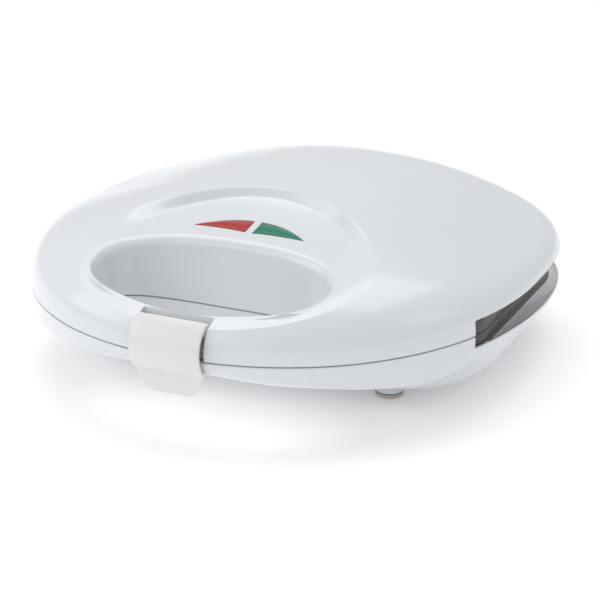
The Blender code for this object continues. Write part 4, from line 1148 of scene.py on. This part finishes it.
def plate_tree():
    """Flat sheet, ring grooves and skirt; grooves go down."""
    tree = Tree("ring_mould_plate", ["Spacing X", "Spacing Y", "Ring Radius", "Groove Half", "Groove Depth",
                                     "Lip Power", "Width", "Length", "Front Radius", "Rear Radius", "Skirt"])
    size = tree.given
    grid = tree.make("MeshGrid", {"Size X": 1.0, "Size Y": 1.0, "Vertices X": GROOVE_STEPS + 1,
                                  "Vertices Y": GROOVE_ROWS})
    along, across, _ = tree.place()
    turn = tree.times(along, 2 * math.pi)
    share = tree.times(across, 2.0)
    radius = tree.plus(size["Ring Radius"], tree.times(size["Groove Half"], share))
    wave = tree.math("MAXIMUM", tree.math("COSINE", tree.times(share, math.pi / 2)), 0.0)
    depth = tree.times(tree.math("POWER", wave, size["Lip Power"]), size["Groove Depth"])
    bent = tree.vector(tree.times(radius, tree.math("COSINE", turn)),
                       tree.times(radius, tree.math("SINE", turn)), tree.times(depth, -1.0))
    groove = tree.make("SetPosition", {"Geometry": grid, "Position": bent})
    centres = tree.make("MeshGrid", {"Size X": tree.times(size["Spacing X"], 2.0),
                                     "Size Y": size["Spacing Y"], "Vertices X": 3, "Vertices Y": 2})
    grooves = tree.spread(centres, groove)
    border = tree.make("CurvePrimitiveQuadrilateral", {"Width": size["Width"], "Height": size["Length"]})
    _, y, _ = tree.place()
    behind = tree.math("GREATER_THAN", y, 0.0)
    change = tree.minus(size["Rear Radius"], size["Front Radius"])
    corner = tree.plus(size["Front Radius"], tree.times(behind, change))
    rounded = tree.make("FilletCurve", {"Curve": border, "Radius": corner, "Count": 20}, mode="POLY")
    rings = []
    for sign in ("ADD", "SUBTRACT"):
        reach = tree.math(sign, size["Ring Radius"], size["Groove Half"])
        circle = tree.make("CurvePrimitiveCircle", {"Resolution": GROOVE_STEPS, "Radius": reach})
        rings.append(tree.spread(centres, circle))
    sheet = tree.make("FillCurve", {"Curve": tree.real(tree.join(rounded, *rings))}, mode="TRIANGLES")
    welded = tree.make("MergeByDistance", {"Geometry": tree.real(tree.join(sheet, grooves)),
                                           "Distance": 0.00002})
    neighbours = tree.make("InputMeshEdgeNeighbors")
    is_open = tree.node("FunctionNodeCompare", {2: neighbours, 3: 1}, data_type="INT", operation="EQUAL")
    down = tree.vector(z=tree.times(size["Skirt"], -1.0))
    tree.finish(tree.make("ExtrudeMesh", {"Mesh": welded, "Selection": is_open.outputs[0], "Offset": down,
                                          "Offset Scale": 1.0}, mode="EDGES"))
    return tree


# %% Make both plates
PLATE_SHEET, PLATE_SKIRT, PLATE_FACE = 0.0022, 0.0064, 0.0002
RING_PITCH, RING_RADIUS, RING_GROOVE, RING_DEPTH = 0.072, 0.0205, 0.0103, 0.0092
LIP_POWER = 0.82


def make_plate(name, up, tree):
    """A cast plate, cooking face at the parting plane; up = 1 for the lid's."""
    plate = grown(name, tree, [(0, 0, 0)], plate_finish, Spacing_X=RING_PITCH, Spacing_Y=RING_PITCH,
                  Ring_Radius=RING_RADIUS, Groove_Half=RING_GROOVE, Groove_Depth=RING_DEPTH,
                  Lip_Power=LIP_POWER, Width=plate_high.x - plate_low.x, Length=plate_high.y - plate_low.y,
                  Front_Radius=PLATE_FRONT_RADIUS, Rear_Radius=PLATE_REAR_RADIUS, Skirt=PLATE_SKIRT)
    middle = (plate_low.y + plate_high.y) / 2
    bm = bmesh.new()
    bm.from_mesh(plate.data)
    bmesh.ops.recalc_face_normals(bm, faces=bm.faces)
    facing = max(bm.faces, key=lambda f: f.calc_center_median().z).normal.z
    if facing < 0:
        bmesh.ops.reverse_faces(bm, faces=bm.faces)
    place = Matrix.Translation((0, middle, PARTING_Z + up * PLATE_FACE)) @ Matrix.Diagonal((1, 1, -up, 1))
    bmesh.ops.transform(bm, matrix=place, verts=bm.verts)
    if up > 0:
        bmesh.ops.reverse_faces(bm, faces=bm.faces)
    bm.to_mesh(plate.data)
    bm.free()
    sheet = plate.modifiers.new("sheet", "SOLIDIFY")
    sheet.thickness = PLATE_SHEET
    sheet.offset = -1.0
    applied(plate)
    return round_edges(plate, 0.0004, 2, 55.0)


mould_tree = plate_tree()
upper_mould = make_plate("upper_ring_plate", 1, mould_tree)
lower_mould = make_plate("lower_ring_plate", -1, mould_tree)
print("plates:", len(lower_mould.data.polygons), "faces each")

# %% [markdown]
# ## Screws
#
# Pan-headed screws hold the plates and the shells, countersunk ones the grip covers. One tree serves
# both: a head whose lower radius is an input, a shank, a pointed tip, a run of thread ridges and a
# cross recess. It repeats the screw on every point it is given, turned over where heads face down.

# %% The screws' tree
def screw_tree():
    """A cross-head screw on every point: head top at the point, shank below it."""
    tree = Tree("cross_head_screws", ["Head Radius", "Head Foot Radius", "Head Height", "Shank Radius",
                                      "Length", "Turn Over"])
    size = tree.given

    def cone(sides, top, bottom, depth):
        return tree.make("MeshCone", {"Vertices": sides, "Radius Top": top, "Radius Bottom": bottom,
                                      "Depth": depth})

    def moved(geometry, z):
        return tree.make("Transform", {"Geometry": geometry, "Translation": tree.vector(z=z)})

    head_foot = tree.times(size["Head Height"], -1.0)
    head = cone(32, size["Head Radius"], size["Head Foot Radius"], size["Head Height"])
    head_at = moved(head, head_foot)
    wide, narrow = tree.times(size["Shank Radius"], 2.4), tree.times(size["Shank Radius"], 0.55)
    deep = tree.times(size["Head Height"], 1.1)
    bars = [tree.make("MeshCube", {"Size": tree.vector(x, y, deep)})
            for x, y in ((wide, narrow), (narrow, wide))]
    recess = tree.make("MeshBoolean", {"Mesh 1": head_at, "Mesh 2": tree.join(*bars)},
                       operation="DIFFERENCE", solver="MANIFOLD")
    body_length = tree.minus(size["Length"], size["Head Height"])
    core = tree.times(size["Shank Radius"], 0.80)
    shank = moved(cone(24, core, tree.times(core, 0.7), body_length), tree.times(size["Length"], -1.0))
    ridge = cone(24, tree.times(core, 0.6), size["Shank Radius"], tree.times(body_length, 0.11))
    first = tree.vector(z=tree.minus(head_foot, tree.times(body_length, 0.16)))
    step = tree.vector(z=tree.times(body_length, -0.14))
    line = tree.make("MeshLine", {"Count": 6, "Start Location": first, "Offset": step})
    whole = tree.join(recess, shank, tree.real(tree.spread(line, ridge)))
    over = tree.vector(x=tree.times(size["Turn Over"], math.pi))
    turned = tree.node("FunctionNodeEulerToRotation", {0: over}).outputs[0]
    tree.finish(tree.spread(size["Geometry"], whole, Rotation=turned))
    return tree


# %% Make the screws
def screw_set(name, stem, up, head_radius, foot_radius, head_height, shank_radius):
    """All screws of one kind, from their packed places; up = 1 where heads face up."""
    nodes = sorted(n for n in frame["nodes"] if n.startswith(stem))
    boxes = [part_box(n) for n in nodes]
    heads = [((low.x + high.x) / 2, (low.y + high.y) / 2, high.z if up > 0 else low.z) for low, high in boxes]
    length = boxes[0][1].z - boxes[0][0].z
    made = grown(name, thread_tree, heads, screw_finish, Head_Radius=head_radius,
                 Head_Foot_Radius=foot_radius, Head_Height=head_height, Shank_Radius=shank_radius,
                 Length=length, Turn_Over=float(up < 0))
    return made, nodes


PAN_HEAD = (0.0034, 0.0034, 0.0018, 0.0015)          # head radius, its foot, head height, shank
LOW_PAN_HEAD = (0.0034, 0.0034, 0.0016, 0.0015)
SUNK_HEAD = (0.0024, 0.0014, 0.0013, 0.0014)
thread_tree = screw_tree()
upper_screws, upper_screw_nodes = screw_set("upper_plate_screws", "upper_plate_screw", 1, *PAN_HEAD)
lower_screws, lower_screw_nodes = screw_set("lower_plate_screws", "lower_plate_screw", -1, *PAN_HEAD)
shell_screws, shell_screw_nodes = screw_set("base_shell_screws", "base_screw", -1, *LOW_PAN_HEAD)
lid_cover_screws, lid_cover_nodes = screw_set("lid_cover_screws", "lid_cover_screw", -1, *SUNK_HEAD)
base_cover_screws, base_cover_nodes = screw_set("base_cover_screws", "base_cover_screw", 1, *SUNK_HEAD)
print("screws:", len(upper_screws.data.polygons), "faces in a set of four")

# %% [markdown]
# ## Feet
#
# Each boss ends in a pressed-in rubber pad with a rounded edge and a shallow dimple below. The tree
# takes a finely divided disc and lifts its lower face by a rule of the radius.

# %% Feet
def pad_tree():
    """A rubber pad on every point; its lower edge is rounded and its middle dimpled."""
    tree = Tree("foot_pads", ["Radius", "Height", "Edge", "Dimple"])
    size = tree.given
    disc = tree.make("MeshCylinder", {"Vertices": 48, "Side Segments": 6, "Fill Segments": 12,
                                      "Radius": size["Radius"], "Depth": size["Height"]})
    x, y, z = tree.place()
    squared = tree.plus(tree.times(x, x), tree.times(y, y))
    share = tree.math("DIVIDE", tree.math("SQRT", squared), size["Radius"])
    low = tree.minus(0.5, tree.math("DIVIDE", z, size["Height"]))
    lift = tree.times(tree.math("POWER", share, 10.0), size["Edge"])
    hollow = tree.math("MAXIMUM", tree.minus(0.45, share), 0.0)
    lift = tree.plus(lift, tree.times(hollow, size["Dimple"]))
    shaped = tree.make("SetPosition", {"Geometry": disc, "Offset": tree.vector(z=tree.times(lift, low))})
    tree.finish(tree.spread(size["Geometry"], shaped))
    return tree


PAD_RADIUS, PAD_EDGE, PAD_DIMPLE = 0.0066, 0.0007, 0.0016
pads = grown("foot_pads", pad_tree(), [(c.x, c.y, FOOT_PAD / 2) for c in foot_places], foot_finish,
             Radius=PAD_RADIUS, Height=FOOT_PAD, Edge=PAD_EDGE, Dimple=PAD_DIMPLE)
soften_shading(pads, 40.0)
print("feet:", len(pads.data.polygons), "faces in four pads")

# %% [markdown]
# ## Hinge, bush and inner mouldings
#
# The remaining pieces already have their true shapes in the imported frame, but their edges are knife
# sharp. A copy of each is welded, its flat faces are joined up again and its edges are rounded, as
# a mould would leave them. Round pieces that show, such as the pins and the cord's bush, are turned
# afresh with more sides.

# %% Rounded copies
def rounded_copy(node, width, dissolve=2.0):
    """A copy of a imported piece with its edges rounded."""
    bm = bmesh.new()
    bm.from_mesh(frame["nodes"][node].data)
    bmesh.ops.remove_doubles(bm, verts=bm.verts, dist=0.000002)
    bmesh.ops.dissolve_limit(bm, angle_limit=math.radians(dissolve), verts=bm.verts, edges=bm.edges)
    return round_edges(object_from(node + "_moulding", bm), width, 2, 32.0)


EDGE_WIDTH = 0.0003
hinge_nodes = ["hinge_arm_left", "hinge_arm_right", "hinge_bracket_left", "hinge_bracket_right",
               "wire_tunnel"]
inner_nodes = ["lamp_holder", "terminal_block", "cord_clamp"]
rounded = {node: rounded_copy(node, EDGE_WIDTH) for node in hinge_nodes + inner_nodes}
print("rounded copies:", ", ".join(rounded))

# %% Pins and bush
def pin_of(node):
    """A ground pin with chamfered ends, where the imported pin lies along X."""
    low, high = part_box(node)
    radius = (high.z - low.z) / 2
    half = (high.x - low.x) / 2
    centre = (low + high) / 2
    chamfer = radius * 0.3
    profile = [(0, -half), (radius - chamfer, -half), (radius, -half + chamfer), (radius, half - chamfer),
               (radius - chamfer, half), (0, half)]
    place = Matrix.Translation(centre) @ Matrix.Rotation(math.pi / 2, 4, "Y")
    return lathe(node + "_turned", profile, place, 40)


def make_bush():
    """The grey bush that lines the cord's hole: flanges inside and out, and a ribbed nose."""
    low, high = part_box("cord_gland")
    centre = (low + high) / 2
    length = high.y - low.y
    outer = [(0.0066, 0.0), (0.0066, 0.0026), (0.0062, 0.0030), (0.0050, 0.0030), (0.0050, 0.0165),
             (0.0071, 0.0165), (0.0074, 0.0168), (0.0074, 0.0187), (0.0071, 0.0190), (0.0054, 0.0190)]
    for k in range(3):
        at = 0.0196 + 0.0012 * k
        outer += [(0.0047, at), (0.0047, at + 0.0004), (0.0052, at + 0.0006), (0.0052, at + 0.0009)]
    outer += [(0.0048, length), (0.0034, length), (0.0031, length - 0.0006), (0.0034, 0.0004), (0.0036, 0.0)]
    place = Matrix.Translation((centre.x, low.y, centre.z)) @ Matrix.Rotation(-math.pi / 2, 4, "X")
    steps = 56
    turn = [2 * math.pi * k / steps for k in range(steps)]
    rows = [[tuple(place @ Vector((r * math.cos(a), r * math.sin(a), h))) for a in turn] for r, h in outer]
    return skin("cord_bush", rows, closed_rows=True)


pin_nodes = ["hinge_pin_left", "hinge_pin_right", "latch_pin"]
pins = {node: pin_of(node) for node in pin_nodes}
bush = make_bush()
print("turned:", ", ".join(pins), "and", bush.name)

# %% [markdown]
# ## Dressing and riding
#
# Each finished piece gets its finish, rides on the body it is fixed to and hides the imported
# nodes it stands for. Imported nodes that stay visible only get a better finish.

# %% Finished pieces
def dress(piece, finish, body, slot, *nodes):
    """Give a piece its finish, hang it on its body and hide the imported nodes it stands for."""
    piece.data.materials.clear()
    piece.data.materials.append(finish)
    for polygon in piece.data.polygons:
        polygon.material_index = 0
    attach(piece, body)
    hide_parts(*nodes)


dress(lid_moulding, shell_finish, "lid", "shell", "lid_shell")
dress(base_moulding, shell_finish, "base", "shell", "base_shell")
dress(clip_moulding, latch_finish, "latch", "latch", "latch")
dress(red_slab, red_finish, "lid", "red_lens", "red_lens")
dress(green_slab, green_finish, "lid", "green_lens", "green_lens")
dress(lid_cover, cover_finish, "lid", "grip_cover", "lid_handle_cover")
dress(base_cover, cover_finish, "base", "grip_cover", "base_handle_cover")
dress(upper_mould, plate_finish, "lid", "cooking_plate", "upper_plate")
dress(lower_mould, plate_finish, "base", "cooking_plate", "lower_plate")
dress(upper_screws, screw_finish, "lid", "screw", *upper_screw_nodes)
dress(lid_cover_screws, screw_finish, "lid", "screw", *lid_cover_nodes)
dress(lower_screws, screw_finish, "base", "screw", *lower_screw_nodes)
dress(shell_screws, screw_finish, "base", "screw", *shell_screw_nodes)
dress(base_cover_screws, screw_finish, "base", "screw", *base_cover_nodes)
dress(pads, foot_finish, "base", "foot", *foot_nodes)
dress(bush, gland_finish, "base", "gland", "cord_gland")
dress(pins["latch_pin"], pin_finish, "lid", "pin", "latch_pin")
for node in ("hinge_pin_left", "hinge_pin_right"):
    dress(pins[node], pin_finish, "base", "pin", node)
for node in hinge_nodes:
    dress(rounded[node], hinge_finish, "lid" if "arm" in node else "base", "hinge", node)
for node in inner_nodes:
    dress(rounded[node], resin_finish, "lid" if node == "lamp_holder" else "base", "insulator", node)

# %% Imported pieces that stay
STAYING = {"upper_heater": heater_finish, "lower_heater": heater_finish, "upper_reflector": shield_finish,
           "lower_reflector": shield_finish, "thermostat": thermostat_finish, "thermal_fuse": fuse_finish,
           "power_lamp": lamp_finish, "ready_lamp": lamp_finish, "hinge_wire_sleeve": sleeve_finish}
for node, finish in STAYING.items():
    frame["nodes"][node].data.materials.clear()
    frame["nodes"][node].data.materials.append(finish)
bare = [name for name, node in frame["nodes"].items() if not node.hide_render and name not in STAYING]
print("packed nodes that stay:", len(STAYING), "and without a finish:", bare)
